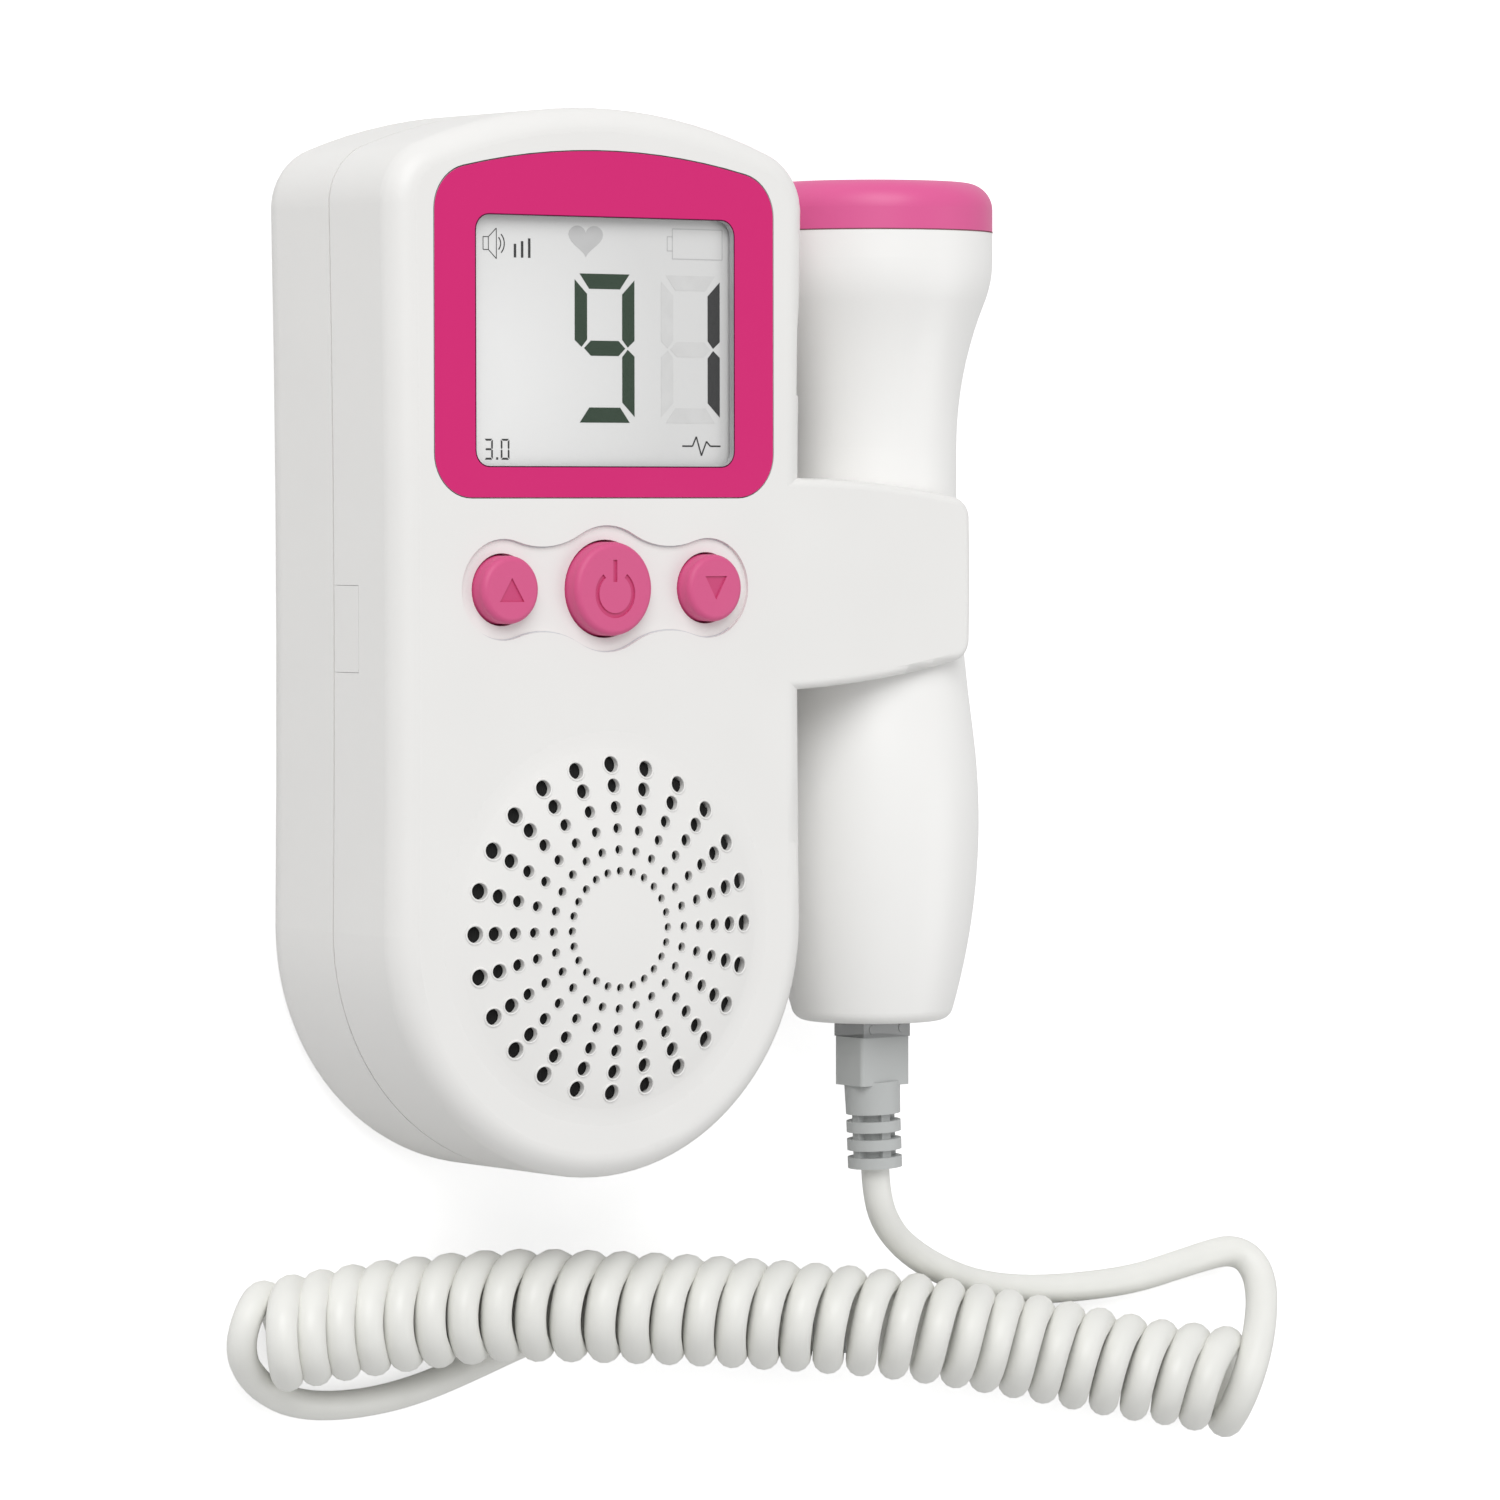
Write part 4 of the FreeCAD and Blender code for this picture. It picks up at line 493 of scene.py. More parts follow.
COIL_ROUTE = (
    (0.1253, -0.1051, 0.0076), (0.1110, -0.1028, 0.0075), (0.0995, -0.1003, 0.0076),
    (0.0900, -0.0981, 0.0084), (0.0800, -0.0959, 0.0102), (0.0685, -0.0935, 0.0132),
    (0.0560, -0.0912, 0.0152), (0.0420, -0.0893, 0.0158), (0.0260, -0.0874, 0.0156),
    (0.0107, -0.0859, 0.0145), (-0.0026, -0.0850, 0.0114), (-0.0164, -0.0857, 0.0083),
    (-0.0260, -0.0863, 0.0075), (-0.0358, -0.0872, 0.0074),
)
"""Middle line of the coil."""
FREE_ROUTE = (
    (-0.0372, -0.0822, 0.0072), (-0.0394, -0.0843, 0.0084), (-0.0402, -0.0877, 0.0080),
    (-0.0384, -0.0912, 0.0062), (-0.0332, -0.0950, 0.0036), (-0.0275, -0.0970, 0.0022),
    (-0.0215, -0.0976, 0.00195), (-0.0150, -0.0973, 0.00195), (-0.0086, -0.0962, 0.00195),
    (-0.0016, -0.0942, 0.00195), (0.0046, -0.0922, 0.0020), (0.0100, -0.0905, 0.0023),
    (0.0152, -0.0890, 0.0031), (0.0200, -0.08842, 0.00445), (0.02558, -0.08886, 0.00445),
)
"""From the first turn of the coil to the free plug's strain relief."""
ROUTE_STEPS = 8
CORD_STEPS = 4
CORD_ROUNDNESS = 5
"""Steps between two points of a measured line and of the lead, and in a quarter of its section."""
FIRST_ANGLE = math.radians(58)
"""Where round the coil its first turn starts."""
PULLED_IN = 1.4
"""A spline runs inside its points, so a turn's points are set out: the larger this, the less."""
LOOSER_END, LOOSER_POWER = 0.35, 0.8
"""How much further apart the turns lie at the probe's end, and how fast that fades."""
STRETCHED, STRETCHED_PLACE, STRETCHED_WIDTH = 0.30, 0.69, 0.13
"""A looser part of the coil: how much, where from the free end, and over which share."""
SKEW_END, SKEW_FADE, SKEW_BASE, SKEW_GAIN = 0.24, 0.08, 0.04, 0.06
"""Twist of the turns about the upright: at the probe's end, and along the rest of the coil."""
LEAST_LEAN = 0.1
"""Least value of a turn's lean, squared."""
FIRST_LEAN, LEAN_GAIN = 0.72, 0.28
"""Share of its lean that the first turn has, and what the next one adds."""
SWELL_AHEAD, SWELL_RAMP = 14, 6
"""Points before the coil where the lead starts to swell, and the points that this takes."""
THICK_POINT, THICK_REACH, THICK_RAMP = 4, 12, 12
"""Where the lead is thickest, for how many points each way, and over how many that fades."""


def smooth_line(name, points):
    """A curve object with one open spline that has the points as its controls."""
    data = bpy.data.curves.new(name, "CURVE")
    data.dimensions = "3D"
    data.resolution_u = ROUTE_STEPS
    spline = data.splines.new("NURBS")
    spline.points.add(len(points) - 1)
    for control, point in zip(spline.points, points):
        control.co = (*point, 1)
    spline.order_u = 3
    spline.use_endpoint_u = True
    return bpy.data.objects.new(name, data)


def points_along(points):
    """Points that the spline of a route runs through."""
    line = smooth_line("route", points)
    bpy.context.scene.collection.objects.link(line)
    mesh = settled(line)
    found = [v.co.copy() for v in mesh.vertices]
    curve = line.data
    bpy.data.objects.remove(line)
    bpy.data.curves.remove(curve)
    bpy.data.meshes.remove(mesh)
    return found


def along(line, share):
    """Point and heading at a share of a line's length."""
    lengths = [0.0]
    for one, other in zip(line, line[1:]):
        lengths.append(lengths[-1] + (other - one).length)
    wanted = share * lengths[-1]
    i = min(next(k for k, reach in enumerate(lengths) if reach >= wanted) or 1, len(line) - 1)
    part = (wanted - lengths[i - 1]) / (lengths[i] - lengths[i - 1])
    heading = (line[i] - line[i - 1]).normalized()
    return line[i - 1].lerp(line[i], part), heading


def spacing(share):
    """How far apart the turns lie at a share of the coil, counted from the probe's end."""
    left = 1 - share
    stretched = STRETCHED * math.exp(-(((left - STRETCHED_PLACE) / STRETCHED_WIDTH) ** 2))
    return 1 + LOOSER_END * left ** LOOSER_POWER + stretched


def line_length(points):
    return sum((other - one).length for one, other in zip(points, points[1:]))


def coil_points(lead):
    """Turns round the coil's middle line: over the top towards -Y, under and up again."""
    line = points_along(COIL_ROUTE)
    start, end = FIRST_ANGLE, math.tau * lead.turns
    count = int((end - start) / math.tau * lead.points)
    reach = lead.coil_radius / math.cos(math.pi / lead.points / PULLED_IN)
    shares = [0.0]
    for i in range(count):
        shares.append(shares[-1] + spacing((i + 0.5) / count))
    step = line_length(line) / shares[-1]
    room = lead.diameter * lead.squeeze
    turns = []
    for i, done in enumerate(shares):
        angle = start + (end - start) * i / count
        centre, heading = along(line, done / shares[-1])
        share = i / count
        skew = SKEW_END * math.exp(-share / SKEW_FADE) - SKEW_BASE - SKEW_GAIN * share
        side = heading.cross(Vector((0, 0, 1))).normalized() - heading * skew
        pitch = spacing(share) * step * lead.points
        lean = min(lead.lean, math.sqrt(max(LEAST_LEAN, (pitch / room) ** 2 - 1)))
        lean *= min(1, FIRST_LEAN + LEAN_GAIN * i / lead.points)
        rise = Vector((0, 0, 1)) + heading * lean
        turns.append(centre + side * (math.cos(angle) * reach) + rise * (math.sin(angle) * reach))
    return turns


class DOPPLER_OT_lead(bpy.types.Operator):
    """Lays the lead as one spline: from the probe, through the coil and to the free plug"""

    bl_idname = "doppler.lead"
    bl_label = "Coiled lead"

    def execute(self, context):
        lead = settings("lead")
        turns = coil_points(lead)[lead.joined:-1]
        first = 1 + len(LEAD_ROUTE)
        last = first + len(turns)
        points = [LEAD_START, *LEAD_ROUTE, *turns, *FREE_ROUTE]
        cord = smooth_line("coiled_lead", points)
        for i, control in enumerate(cord.data.splines[0].points[:last]):
            control.radius = self.thickness(lead, i - first)
        cord.data.resolution_u = CORD_STEPS
        cord.data.bevel_depth = lead.diameter / 2
        cord.data.bevel_resolution = CORD_ROUNDNESS
        cord.data.use_fill_caps = True
        bpy.context.scene.collection.objects.link(cord)
        dress(cord, finish_of("cord_white"))
        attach(cord, "lead")
        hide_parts("probe_lead", "cord_coil", "free_lead")
        whole = line_length(points_along(points))
        return {"FINISHED"}

    def thickness(self, lead, ahead):
        """Share of the plain lead's thickness, at a count of points from the coil's first one."""
        coiled = min(1, max(0, (ahead + SWELL_AHEAD) / SWELL_RAMP))
        near = 1 - min(1, max(0, abs(ahead - THICK_POINT) - THICK_REACH) / THICK_RAMP)
        return 1 + (lead.swell - 1) * coiled + lead.thicker * near


# ---------------------------------------------------------------- finishes of the solids
class DOPPLER_OT_finishes(bpy.types.Operator):
    """Makes every material and gives each solid the one of its slot"""

    bl_idname = "doppler.finishes"
    bl_label = "Finishes"

    def execute(self, context):
        made = finishes()
        for entry in frame["record"]["subparts"]:
            dress(NODES[entry["node"]], made[entry["material_slot"]])
        dress(NODES["probe_body"], made["probe_white"])
        return {"FINISHED"}


# ---------------------------------------------------------------- signs engraved in the buttons
UP_SIGN = (0.0037, 0.0030)
DOWN_SIGN = (0.0034, 0.0030)
"""Width and height of the two triangles."""
POWER_SIGN = (0.00275, 0.00062)
"""Radius and stroke of the power sign's ring."""
POWER_OPEN = (126, 414)
"""Where that ring starts and ends, in degrees."""
POWER_BAR = (0.54, 1.55)
"""Foot and head of its bar, as shares of the ring's radius."""
POWER_DROP = 0.22
"""How far the sign lies below the button's middle, as a share of the ring's radius."""
FILM = 0.00003
# Thickness of the darker floor of a sign, whose colour is painted shade in the recess.
"""Thickness of the darker floor of a sign."""
CUTTER_RISE = 0.001
"""How far a cutter stands above the button."""
SAME_PLACE = 1e-6
"""Corners nearer than this are one."""
SHARP_ANGLE = math.radians(32)
"""Edges that turn by more than this stay sharp."""
LEVEL_NORMAL = 0.999
"""Upward share of the normal of a level face."""


def triangle(width, height, upwards):
    foot = -height / 2 if upwards else height / 2
    return [(-width / 2, foot), (width / 2, foot), (0, -foot)]


def power_sign(radius, stroke):
    """An open ring with a bar in its gap."""
    drop = radius * POWER_DROP
    ring = band(moved(arc(radius, *POWER_OPEN, 40), 0, -drop), stroke)
    foot, head = (radius * share - drop for share in POWER_BAR)
    return [ring, rectangle(-stroke / 2, foot, stroke / 2, head)]


def engraved(node, outlines, depth):
    """A copy of a button with signs cut into its top, in place of the plain one."""
    centre, top = middle(node), high(node).z
    placed = [moved(outline, centre.x, centre.y) for outline in outlines]
    block = prisms("cutter", placed, top + CUTTER_RISE, CUTTER_RISE + depth)
    cutter = new_object(node + "_cutter", block)
    mesh = NODES[node].data.copy()
    shape = bmesh.new()
    shape.from_mesh(mesh)
    bmesh.ops.remove_doubles(shape, verts=shape.verts, dist=SAME_PLACE)
    shape.to_mesh(mesh)
    shape.free()
    mesh.normals_split_custom_set_from_vertices([(0, 0, 0)] * len(mesh.vertices))
    button = new_object(node + "_engraved", mesh)
    cut = button.modifiers.new("signs", "BOOLEAN")
    cut.object = cutter
    cut.operation = "DIFFERENCE"
    cut.solver = "EXACT"
    result = settled(button)
    button.modifiers.clear()
    button.data = result
    bpy.data.objects.remove(cutter)
    result.shade_smooth()
    result.set_sharp_from_angle(angle=SHARP_ANGLE)
    for face in result.polygons:
        face.use_smooth = face.normal.z < LEVEL_NORMAL
    dress(button, finish_of("button_pink"))
    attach(button, node)
    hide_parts(node)
    # A darker floor in each sign: painted shade in its recess.
    floor = prisms(node + "_sign", placed, top - depth + FILM, FILM)
    dress(new_object(node + "_sign", floor, node), finish_of("sign_floor"))


class DOPPLER_OT_button_signs(bpy.types.Operator):
    """Engraves up, power and down signs in the three buttons"""

    bl_idname = "doppler.button_signs"
    bl_label = "Button signs"

    def execute(self, context):
        depth = settings("display").engraving
        engraved("volume_up_button", [triangle(*UP_SIGN, True)], depth)
        engraved("volume_down_button", [triangle(*DOWN_SIGN, False)], depth)
        engraved("power_button", power_sign(*POWER_SIGN), depth)
        return {"FINISHED"}


# ---------------------------------------------------------------- painted shade in the seam of the probe's cap
class DOPPLER_OT_cap_seam_shade(bpy.types.Operator):
    """Draws a fine dark ring of painted shade in the seam between the probe's body and its cap"""

    bl_idname = "doppler.cap_joint"
    bl_label = "Cap joint"

    steps: number("Steps", 160, "Sides of the ring", 12)

    def execute(self, context):
        size = settings("display")
        centre = middle("probe_cap")
        reach = (high("probe_cap").x - low("probe_cap").x) / 2 + FILM
        near, far = size.cap_seam - size.cap_joint / 2, size.cap_seam + size.cap_joint / 2
        shape = bmesh.new()
        loops = []
        inner = reach - 2 * FILM
        for y, radius in ((near, reach), (far, reach), (far, inner), (near, inner)):
            ring = arc(radius, 0, 360, self.steps)[:-1]
            loops.append([shape.verts.new((centre.x + x, y, centre.z + z)) for x, z in ring])
        for one, other in zip(loops, loops[1:] + loops[:1]):
            for i in range(self.steps):
                shape.faces.new((one[i - 1], other[i - 1], other[i], one[i]))
        mesh = bpy.data.meshes.new("cap_joint")
        shape.to_mesh(mesh)
        shape.free()
        dress(new_object("cap_joint", mesh, "probe"), finish_of("cap_joint"))
        return {"FINISHED"}


# ---------------------------------------------------------------- signs on the display
PLACES = {
    "nine": (-0.00383, -0.0101),
    "one": (0.0095, -0.0101),
    "three": (-0.0176, -0.0148),
    "dot": (-0.0158, -0.0148),
    "zero": (-0.0151, -0.0148),
    "bars": (-0.01307, 0.0104),
    "horn": (-0.0161, 0.0121),
    "heart": (-0.0021, 0.0126),
    "cell": (0.0147, 0.0126),
    "pulse": (0.0158, -0.0130),
}
"""Signs of the display, from the middle of its panel."""
SMALL_DIGIT = (0.0013, 0.0026, 0.00024, 0.00005)
"""Width, height, stroke and gap of the small digits."""
DOT_SIDE = 0.0003
BARS, BAR_PITCH, BAR_WIDTH = 3, 0.00108, 0.00036
BAR_RISE, BAR_STEP = 0.0017, 0.00036
"""Height of the first bar, and what each next one adds."""
HEART = (0.0053, 0.0040)
HEART_STEPS = 36
"""Width and height of the heart, and the points round it."""
HORN_LINE, CELL_LINE, PULSE_LINE = 0.0001, 0.00013, 0.0002
"""Widths of the lines of the small signs."""
LIFT = 0.00001
"""Thickness of a print, and how far it stands off its ground."""
TRAY_NEAR = (0.020, 0.010)
"""Half the room round the power button in which the tray's foot is looked for."""
LEVEL, WALL_RISE = 0.00002, 0.00005
"""How even the tray's foot is, and how far the middle of a wall's face stands above it."""


def segments(width, height, stroke, gap):
    """The seven segments of a digit by name, about its lower left corner."""
    half, g = stroke / 2, gap / 2
    mid = height / 2
    slope = stroke * 0.95
    corner = stroke * 0.16
    tip = stroke * 0.45
    mitre = stroke * 1.1
    point = stroke * 0.75
    shoulder = stroke * 1.3

    def upright(x, foot, head, inner):
        if inner > 0:
            return [(x, foot + g), (x + stroke, foot + g + slope), (x + stroke, head - g - half),
                    (x + stroke - tip, head - g), (x, head - g - tip)]
        return [(x + stroke, foot + g), (x, foot + g + slope), (x, head - g - half),
                (x + tip, head - g), (x + stroke, head - g - tip)]

    def flip(outline):
        return [(x, height - y) for x, y in outline][::-1]

    lower_left = upright(0, corner * 2, mid, 1)
    lower_right = upright(width - stroke, corner * 2, mid, -1)
    bottom = [(corner * 2 + g, 0), (width - corner * 2 - g, 0), (width - mitre - g, stroke),
              (mitre + g, stroke)]
    centre = [(point, mid), (shoulder, mid - half), (width - shoulder, mid - half),
              (width - point, mid), (width - shoulder, mid + half), (shoulder, mid + half)]
    return {
        "lower_left": lower_left,
        "lower_right": lower_right,
        "upper_left": flip(lower_left),
        "upper_right": flip(lower_right),
        "bottom": bottom,
        "top": flip(bottom),
        "centre": centre,
    }


DIGITS = {
    "0": ("top", "upper_left", "upper_right", "lower_left", "lower_right", "bottom"),
    "1": ("upper_right", "lower_right"),
    "3": ("top", "upper_right", "centre", "lower_right", "bottom"),
    "9": ("top", "upper_left", "upper_right", "centre", "lower_right", "bottom"),
}


def digit(number, x, y, width, height, stroke, gap):
    """Outlines of the segments that are on, and of those that are off."""
    shapes = segments(width, height, stroke, gap)
    on = [moved(shapes[s], x, y) for s in DIGITS[number]]
    off = [moved(shape, x, y) for s, shape in shapes.items() if s not in DIGITS[number]]
    return on, off


def heart(width, height):
    """A heart about its middle, from a curve 32 wide and 29 high."""
    outline = []
    for i in range(HEART_STEPS):
        t = math.tau * i / HEART_STEPS
        x = 16 * math.sin(t) ** 3
        y = 13 * math.cos(t) - 5 * math.cos(2 * t) - 2 * math.cos(3 * t) - math.cos(4 * t)
        outline.append((x * width / 32, (y + 2.5) * height / 29))
    return outline[::-1]


def closed_line(corners, width):
    """Strokes from each corner to the next, and back to the first."""
    return [band([one, other], width) for one, other in zip(corners, corners[1:] + corners[:1])]


def open_line(corners, width):
    return [band([one, other], width) for one, other in zip(corners, corners[1:])]


def loudspeaker_sign(line):
    """A horn with two sound waves, as thin lines."""
    body = [(-0.0016, 0.0008), (-0.0008, 0.0008), (0.0004, 0.0019), (0.0004, -0.0019),
            (-0.0008, -0.0008), (-0.0016, -0.0008)]
    edges = closed_line(body, line)
    edges.append(band([(-0.0008, 0.0008), (-0.0008, -0.0008)], line))
    waves = [band(arc(radius, -46, 46, 8), line * 1.5) for radius in (0.00105, 0.0016)]
    return edges + waves


def battery_sign(line):
    """An empty cell, its cap to the left."""
    case = [(-0.0034, 0.0019), (0.0044, 0.0019), (0.0044, -0.0019), (-0.0034, -0.0019)]
    cap = [(-0.0034, 0.0009), (-0.0042, 0.0009), (-0.0042, -0.0009), (-0.0034, -0.0009)]
    return closed_line(case, line) + open_line(cap, line)


def pulse_sign(line):
    """One beat of a heart trace."""
    path = [(-0.003, 0), (-0.0014, 0), (-0.0008, 0.0012), (0, -0.0012), (0.0008, 0.0006),
            (0.0014, 0), (0.003, 0)]
    return open_line(path, line)


class DOPPLER_OT_display(bpy.types.Operator):
    """Draws the digits and signs of the display"""

    bl_idname = "doppler.display"
    bl_label = "Display"

    def execute(self, context):
        size = settings("display")
        large = (size.digit_width, size.digit_height, size.stroke, size.gap)
        centre = middle("lcd_panel")
        at = {sign: (centre.x + x, centre.y + y) for sign, (x, y) in PLACES.items()}
        nine, _ = digit("9", *at["nine"], *large)
        one, one_off = digit("1", *at["one"], *large)
        three, _ = digit("3", *at["three"], *SMALL_DIGIT)
        zero, _ = digit("0", *at["zero"], *SMALL_DIGIT)
        dot = moved(rectangle(0, 0, DOT_SIDE, DOT_SIDE), *at["dot"])
        bars = []
        left, foot = at["bars"]
        for i in range(BARS):
            start, rise = left + i * BAR_PITCH, BAR_RISE + i * BAR_STEP
            bars.append(rectangle(start, foot, start + BAR_WIDTH, foot + rise))
        horn = [moved(outline, *at["horn"]) for outline in loudspeaker_sign(HORN_LINE)]
        pulse = [moved(outline, *at["pulse"]) for outline in pulse_sign(PULSE_LINE)]
        cell = [moved(outline, *at["cell"]) for outline in battery_sign(CELL_LINE)]
        beat = [moved(heart(*HEART), *at["heart"])]
        dark = one + bars + three + zero + [dot] + horn + pulse
        signs_top, tray_top = LCD_TOP + LIFT * 3, size.tray_floor + LIFT * 2
        # A band of painted shade along the foot of the tray's wall.
        rim = [band(edge, size.tray_line * 2) for edge in self.tray_foot(size)]
        window = self.window_line(size)
        for name, outlines, top, depth, slot, finish in (
            ("display_nine", nine, signs_top, LIFT * 2, "lcd_grey", "segment_on"),
            ("display_one", dark, signs_top, LIFT * 2, "lcd_grey", "segment_dark"),
            ("display_rest", one_off, signs_top, LIFT * 2, "lcd_grey", "segment_off"),
            ("display_signs_off", cell + beat, signs_top, LIFT * 2, "lcd_grey", "sign_off"),
            # Painted shade round the bezel's opening.
            ("window_line", window, FACE + LIFT, LIFT, "bezel_magenta", "window_line"),
            # Painted shade along the foot of the tray's wall.
            ("tray_line", rim, tray_top, LIFT, "shell_white", "tray_line"),
        ):
            mesh = prisms(name, outlines, top, depth)
            dress(new_object(name, mesh, "handset"), finish_of(finish))
        return {"FINISHED"}

    def tray_foot(self, size):
        """Edges where the floor of the tray round the buttons meets the wall above it."""
        shape = bmesh.new()
        shape.from_mesh(NODES["front_shell"].data)
        found = []
        power = middle("power_button")
        for edge in shape.edges:
            ends = [v.co for v in edge.verts]
            level = all(abs(end.z - size.tray_floor) < LEVEL for end in ends)
            within = all(abs(end.x - power.x) < TRAY_NEAR[0] for end in ends)
            within = within and all(abs(end.y - power.y) < TRAY_NEAR[1] for end in ends)
            heights = [face.calc_center_median().z for face in edge.link_faces]
            if level and within and max(heights, default=0) > size.tray_floor + WALL_RISE:
                found.append([(end.x, end.y) for end in ends])
        shape.free()
        return found

    def window_line(self, size):
        """The fine dark line round the opening of the bezel: painted shade along the inner edge of
        its rim.
        """
        centre = middle("lcd_panel")
        half = (high("lcd_panel") - low("lcd_panel")) / 2
        grow = size.window_line / 2 - size.panel_lap
        path = rounded_loop(half.x + grow, half.y + grow, size.window_corner)
        return closed_line(moved(path, centre.x, centre.y), size.window_line)


# ---------------------------------------------------------------- lips of the sound holes
HOLE_RADII = (0.00055, 0.0006, 0.00068, 0.0008, 0.00095, 0.00108)
"""Sound holes of one row, from the centre outwards."""
LIP_SIDES, LIP_SECTION = 28, 8
"""Steps round a lip and round its section."""
LIP_SHIFT = 0.7
"""How far a lip's middle lies beyond the hole's edge, as a share of its own radius."""


class Tree:
    """A tree of geometry nodes under construction."""

    def __init__(self, name):
        self.group = bpy.data.node_groups.new(name, "GeometryNodeTree")
        self.sockets = {}

    def socket(self, name, kind, in_out="INPUT"):
        made = self.group.interface.new_socket(name=name, in_out=in_out,
                                               socket_type="NodeSocket" + kind)
        self.sockets[name] = made.identifier

    def add(self, kind, links=(), **values):
        """Adds a node, sets its properties and links (socket, source) pairs."""
        made = self.group.nodes.new(kind)
        for name, value in values.items():
            setattr(made, name, value)
        for socket, source in dict(links).items():
            if isinstance(source, bpy.types.NodeSocket):
                self.group.links.new(source, made.inputs[socket])
            else:
                made.inputs[socket].default_value = source
        return made.outputs


def lips_tree():
    """One row of lips on its points, turned round the middle of the dome."""
    tree = Tree("sound_hole_lips")
    for name, kind in (("Row", "Geometry"), ("Rows", "Int"), ("Lip", "Float"), ("Middle", "Vector"),
                       ("Ball middle", "Vector"), ("Finish", "Material")):
        tree.socket(name, kind)
    tree.socket("Lips", "Geometry", "OUTPUT")
    given = tree.add("NodeGroupInput")
    ring = tree.add("GeometryNodeCurvePrimitiveCircle", {"Resolution": LIP_SIDES, "Radius": 1.0})
    section = tree.add("GeometryNodeCurvePrimitiveCircle", {
        "Resolution": LIP_SECTION,
        "Radius": given["Lip"],
    })
    lip = tree.add("GeometryNodeCurveToMesh", {
        "Curve": ring["Curve"],
        "Profile Curve": section["Curve"],
    })
    place = tree.add("GeometryNodeInputPosition")
    away = tree.add("ShaderNodeVectorMath", {0: place["Position"], 1: given["Ball middle"]},
                    operation="SUBTRACT")
    turn = tree.add("FunctionNodeAlignRotationToVector", {"Vector": away["Vector"]}, axis="Z")
    radius = tree.add("GeometryNodeInputNamedAttribute", {"Name": "hole_radius"},
                      data_type="FLOAT")
    row = tree.add("GeometryNodeInstanceOnPoints", {
        "Points": given["Row"],
        "Instance": lip["Mesh"],
        "Rotation": turn["Rotation"],
        "Scale": radius["Attribute"],
    })
    spots = tree.add("GeometryNodePoints", {"Count": given["Rows"], "Position": given["Middle"]})
    number = tree.add("GeometryNodeInputIndex")
    share = tree.add("ShaderNodeMath", {0: number["Index"], 1: given["Rows"]}, operation="DIVIDE")
    angle = tree.add("ShaderNodeMath", {0: share["Value"], 1: math.tau}, operation="MULTIPLY")
    about = tree.add("ShaderNodeCombineXYZ", {"Z": angle["Value"]})
    spin = tree.add("FunctionNodeEulerToRotation", {"Euler": about["Vector"]})
    rows = tree.add("GeometryNodeInstanceOnPoints", {
        "Points": spots["Points"],
        "Instance": row["Instances"],
        "Rotation": spin["Rotation"],
    })
    real = tree.add("GeometryNodeRealizeInstances", {"Geometry": rows["Instances"]})
    smooth = tree.add("GeometryNodeSetShadeSmooth", {"Geometry": real["Geometry"]})
    finished = tree.add("GeometryNodeSetMaterial", {
        "Geometry": smooth["Geometry"],
        "Material": given["Finish"],
    })
    tree.add("NodeGroupOutput", {"Lips": finished["Geometry"]})
    return tree


class DOPPLER_OT_hole_lips(bpy.types.Operator):
    """Gives every sound hole of the dome a rounded lip"""

    bl_idname = "doppler.hole_lips"
    bl_label = "Sound hole lips"

    def execute(self, context):
        grille = settings("grille")
        ball = (grille.dome_radius ** 2 + grille.dome_rise ** 2) / (2 * grille.dome_rise)
        drop = FACE + grille.dome_rise - ball
        reaches = [grille.first + i * grille.step for i in range(len(HOLE_RADII))]
        row = bpy.data.meshes.new("sound_hole_row")
        row.from_pydata([(x, 0, drop + math.sqrt(ball ** 2 - x ** 2)) for x in reaches], [], [])
        sizes = row.attributes.new("hole_radius", "FLOAT", "POINT")
        for entry, radius in zip(sizes.data, HOLE_RADII):
            entry.value = radius * (1 + grille.lip * LIP_SHIFT)
        lips = new_object("sound_hole_lips", row)
        tree = lips_tree()
        maker = lips.modifiers.new("lips", "NODES")
        maker.node_group = tree.group
        maker[tree.sockets["Rows"]] = grille.spokes
        maker[tree.sockets["Lip"]] = grille.lip
        maker[tree.sockets["Middle"]] = (SPEAKER.x, SPEAKER.y, 0.0)
        maker[tree.sockets["Ball middle"]] = (0.0, 0.0, drop)
        maker[tree.sockets["Finish"]] = finish_of("shell_white")
        mesh = settled(lips)
        lips.modifiers.clear()
        lips.data = mesh
        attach(lips, "handset")
        return {"FINISHED"}


# ---------------------------------------------------------------- camera, floor and lamps
CAMERA_PLACE = (-0.50504, 0.01766, 0.74667)
CAMERA_RIGHT = Vector((0.80495, -0.00104, 0.59334))
CAMERA_UP = Vector((0.02182, 0.99937, -0.02784))
FRAME_WIDTH = 36
"""Where the camera stands, which way its picture lies, and its width in millimetres."""
FLOOR_REACH = 4.0
FLOOR_TOP = -0.00002
FLOOR_DEPTH = 0.01
FLOOR_WHITE = (0.79, 0.79, 0.79, 1)
KEY_PLACE, KEY_WIDTH = (-0.50, 0.80, 1.00), 1.1
FILL_PLACE, FILL_WIDTH = (0.75, -0.3, 0.85), 0.7
LAMP_AIM = Vector((0.03, -0.01, 0.01))
"""The point that both lamps shine at."""
WHITE = (1, 1, 1, 1)


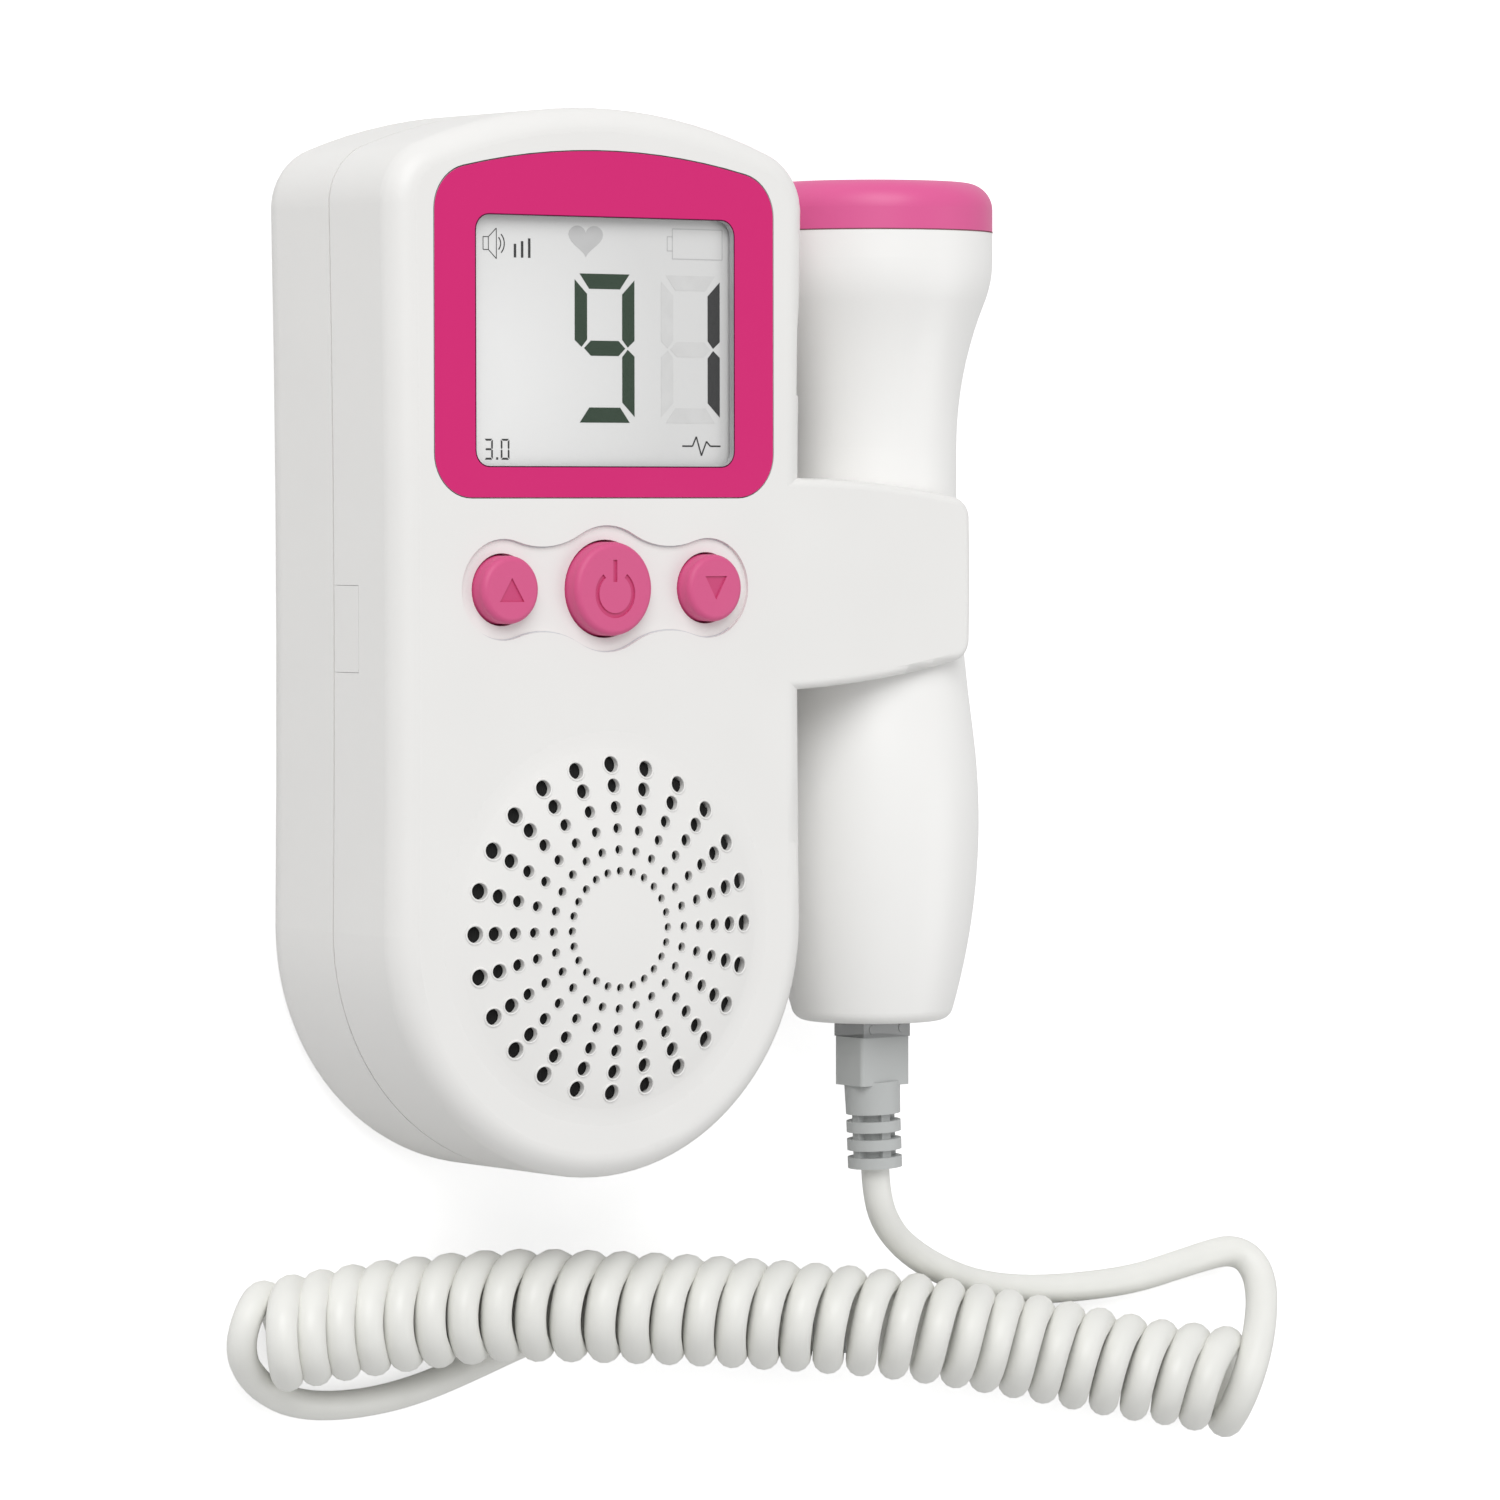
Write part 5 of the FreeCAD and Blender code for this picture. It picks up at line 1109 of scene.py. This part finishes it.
class DOPPLER_OT_stage(bpy.types.Operator):
    """Sets the camera, the floor and the lamps"""

    bl_idname = "doppler.stage"
    bl_label = "Stage"

    def execute(self, context):
        stage = settings("stage")
        scene = context.scene
        data = bpy.data.cameras.new("camera")
        data.lens = stage.lens
        data.sensor_width = FRAME_WIDTH
        camera = bpy.data.objects.new("camera", data)
        back = CAMERA_RIGHT.cross(CAMERA_UP)
        turn = Matrix((CAMERA_RIGHT, CAMERA_UP, back)).transposed().to_4x4()
        camera.matrix_world = Matrix.Translation(CAMERA_PLACE) @ turn
        scene.collection.objects.link(camera)
        scene.camera = camera
        scene.view_settings.view_transform = "Standard"
        self.floor(stage.glow)
        self.lamp("key_lamp", KEY_PLACE, KEY_WIDTH, stage.key)
        self.lamp("fill_lamp", FILL_PLACE, FILL_WIDTH, stage.fill)
        self.world(scene, stage.world)
        return {"FINISHED"}

    def floor(self, strength):
        """A white floor that shows some light of its own to the camera alone."""
        square = rectangle(-FLOOR_REACH, -FLOOR_REACH, FLOOR_REACH, FLOOR_REACH)
        floor = new_object("floor", prisms("floor", [square], FLOOR_TOP, FLOOR_DEPTH))
        made = Finish("floor_white", FLOOR_WHITE, roughness=0.9)
        light = made.add("LightPath")
        glow = made.add("Emission", Color=WHITE, Strength=strength)
        plain = made.add("AddShader")
        shown = made.add("MixShader")
        output = made.nodes["Material Output"]
        made.links.new(made.shader.outputs["BSDF"], plain.inputs[0])
        made.links.new(glow.outputs["Emission"], plain.inputs[1])
        made.links.new(light.outputs["Is Camera Ray"], shown.inputs["Fac"])
        made.links.new(made.shader.outputs["BSDF"], shown.inputs[1])
        made.links.new(plain.outputs["Shader"], shown.inputs[2])
        made.links.new(shown.outputs["Shader"], output.inputs["Surface"])
        dress(floor, made.material)

    def lamp(self, name, place, width, power):
        data = bpy.data.lights.new(name, "AREA")
        data.shape = "DISK"
        data.size = width
        data.energy = power
        lamp = bpy.data.objects.new(name, data)
        aim = LAMP_AIM - Vector(place)
        turn = aim.to_track_quat("-Z", "Y").to_matrix().to_4x4()
        lamp.matrix_world = Matrix.Translation(place) @ turn
        bpy.context.scene.collection.objects.link(lamp)

    def world(self, scene, strength):
        world = bpy.data.worlds.new("studio")
        world.use_nodes = True
        background = world.node_tree.nodes["Background"]
        background.inputs["Color"].default_value = WHITE
        background.inputs["Strength"].default_value = strength
        scene.world = world


class DOPPLER_PT_panel(bpy.types.Panel):
    """Lists the steps and their settings"""

    bl_idname = "DOPPLER_PT_panel"
    bl_label = "Fetal Doppler"
    bl_space_type = "VIEW_3D"
    bl_region_type = "UI"
    bl_category = "Doppler"

    def draw(self, context):
        for step in STEPS:
            self.layout.operator(step.bl_idname)
        for name in SETTINGS:
            group = getattr(context.scene, name)
            box = self.layout.box()
            for entry in group.bl_rna.properties:
                if entry.identifier not in ("rna_type", "name"):
                    box.prop(group, entry.identifier)


STEPS = (
    DOPPLER_OT_stage,
    DOPPLER_OT_finishes,
    DOPPLER_OT_lead,
    DOPPLER_OT_display,
    DOPPLER_OT_button_signs,
    DOPPLER_OT_cap_seam_shade,
    DOPPLER_OT_hole_lips,
)
CLASSES = (*GROUPS, *STEPS, DOPPLER_PT_panel)


def register():
    for entry in CLASSES:
        bpy.utils.register_class(entry)
    for name, group in zip(SETTINGS, GROUPS):
        setattr(bpy.types.Scene, name, PointerProperty(type=group))


def unregister():
    for name in SETTINGS:
        delattr(bpy.types.Scene, name)
    for entry in reversed(CLASSES):
        bpy.utils.unregister_class(entry)


def main():
    register()
    bpy.ops.doppler.stage()
    bpy.ops.doppler.finishes()
    bpy.ops.doppler.lead()
    bpy.ops.doppler.display()
    bpy.ops.doppler.button_signs()
    bpy.ops.doppler.cap_joint()
    bpy.ops.doppler.hole_lips()


if __name__ == "__main__":
    main()
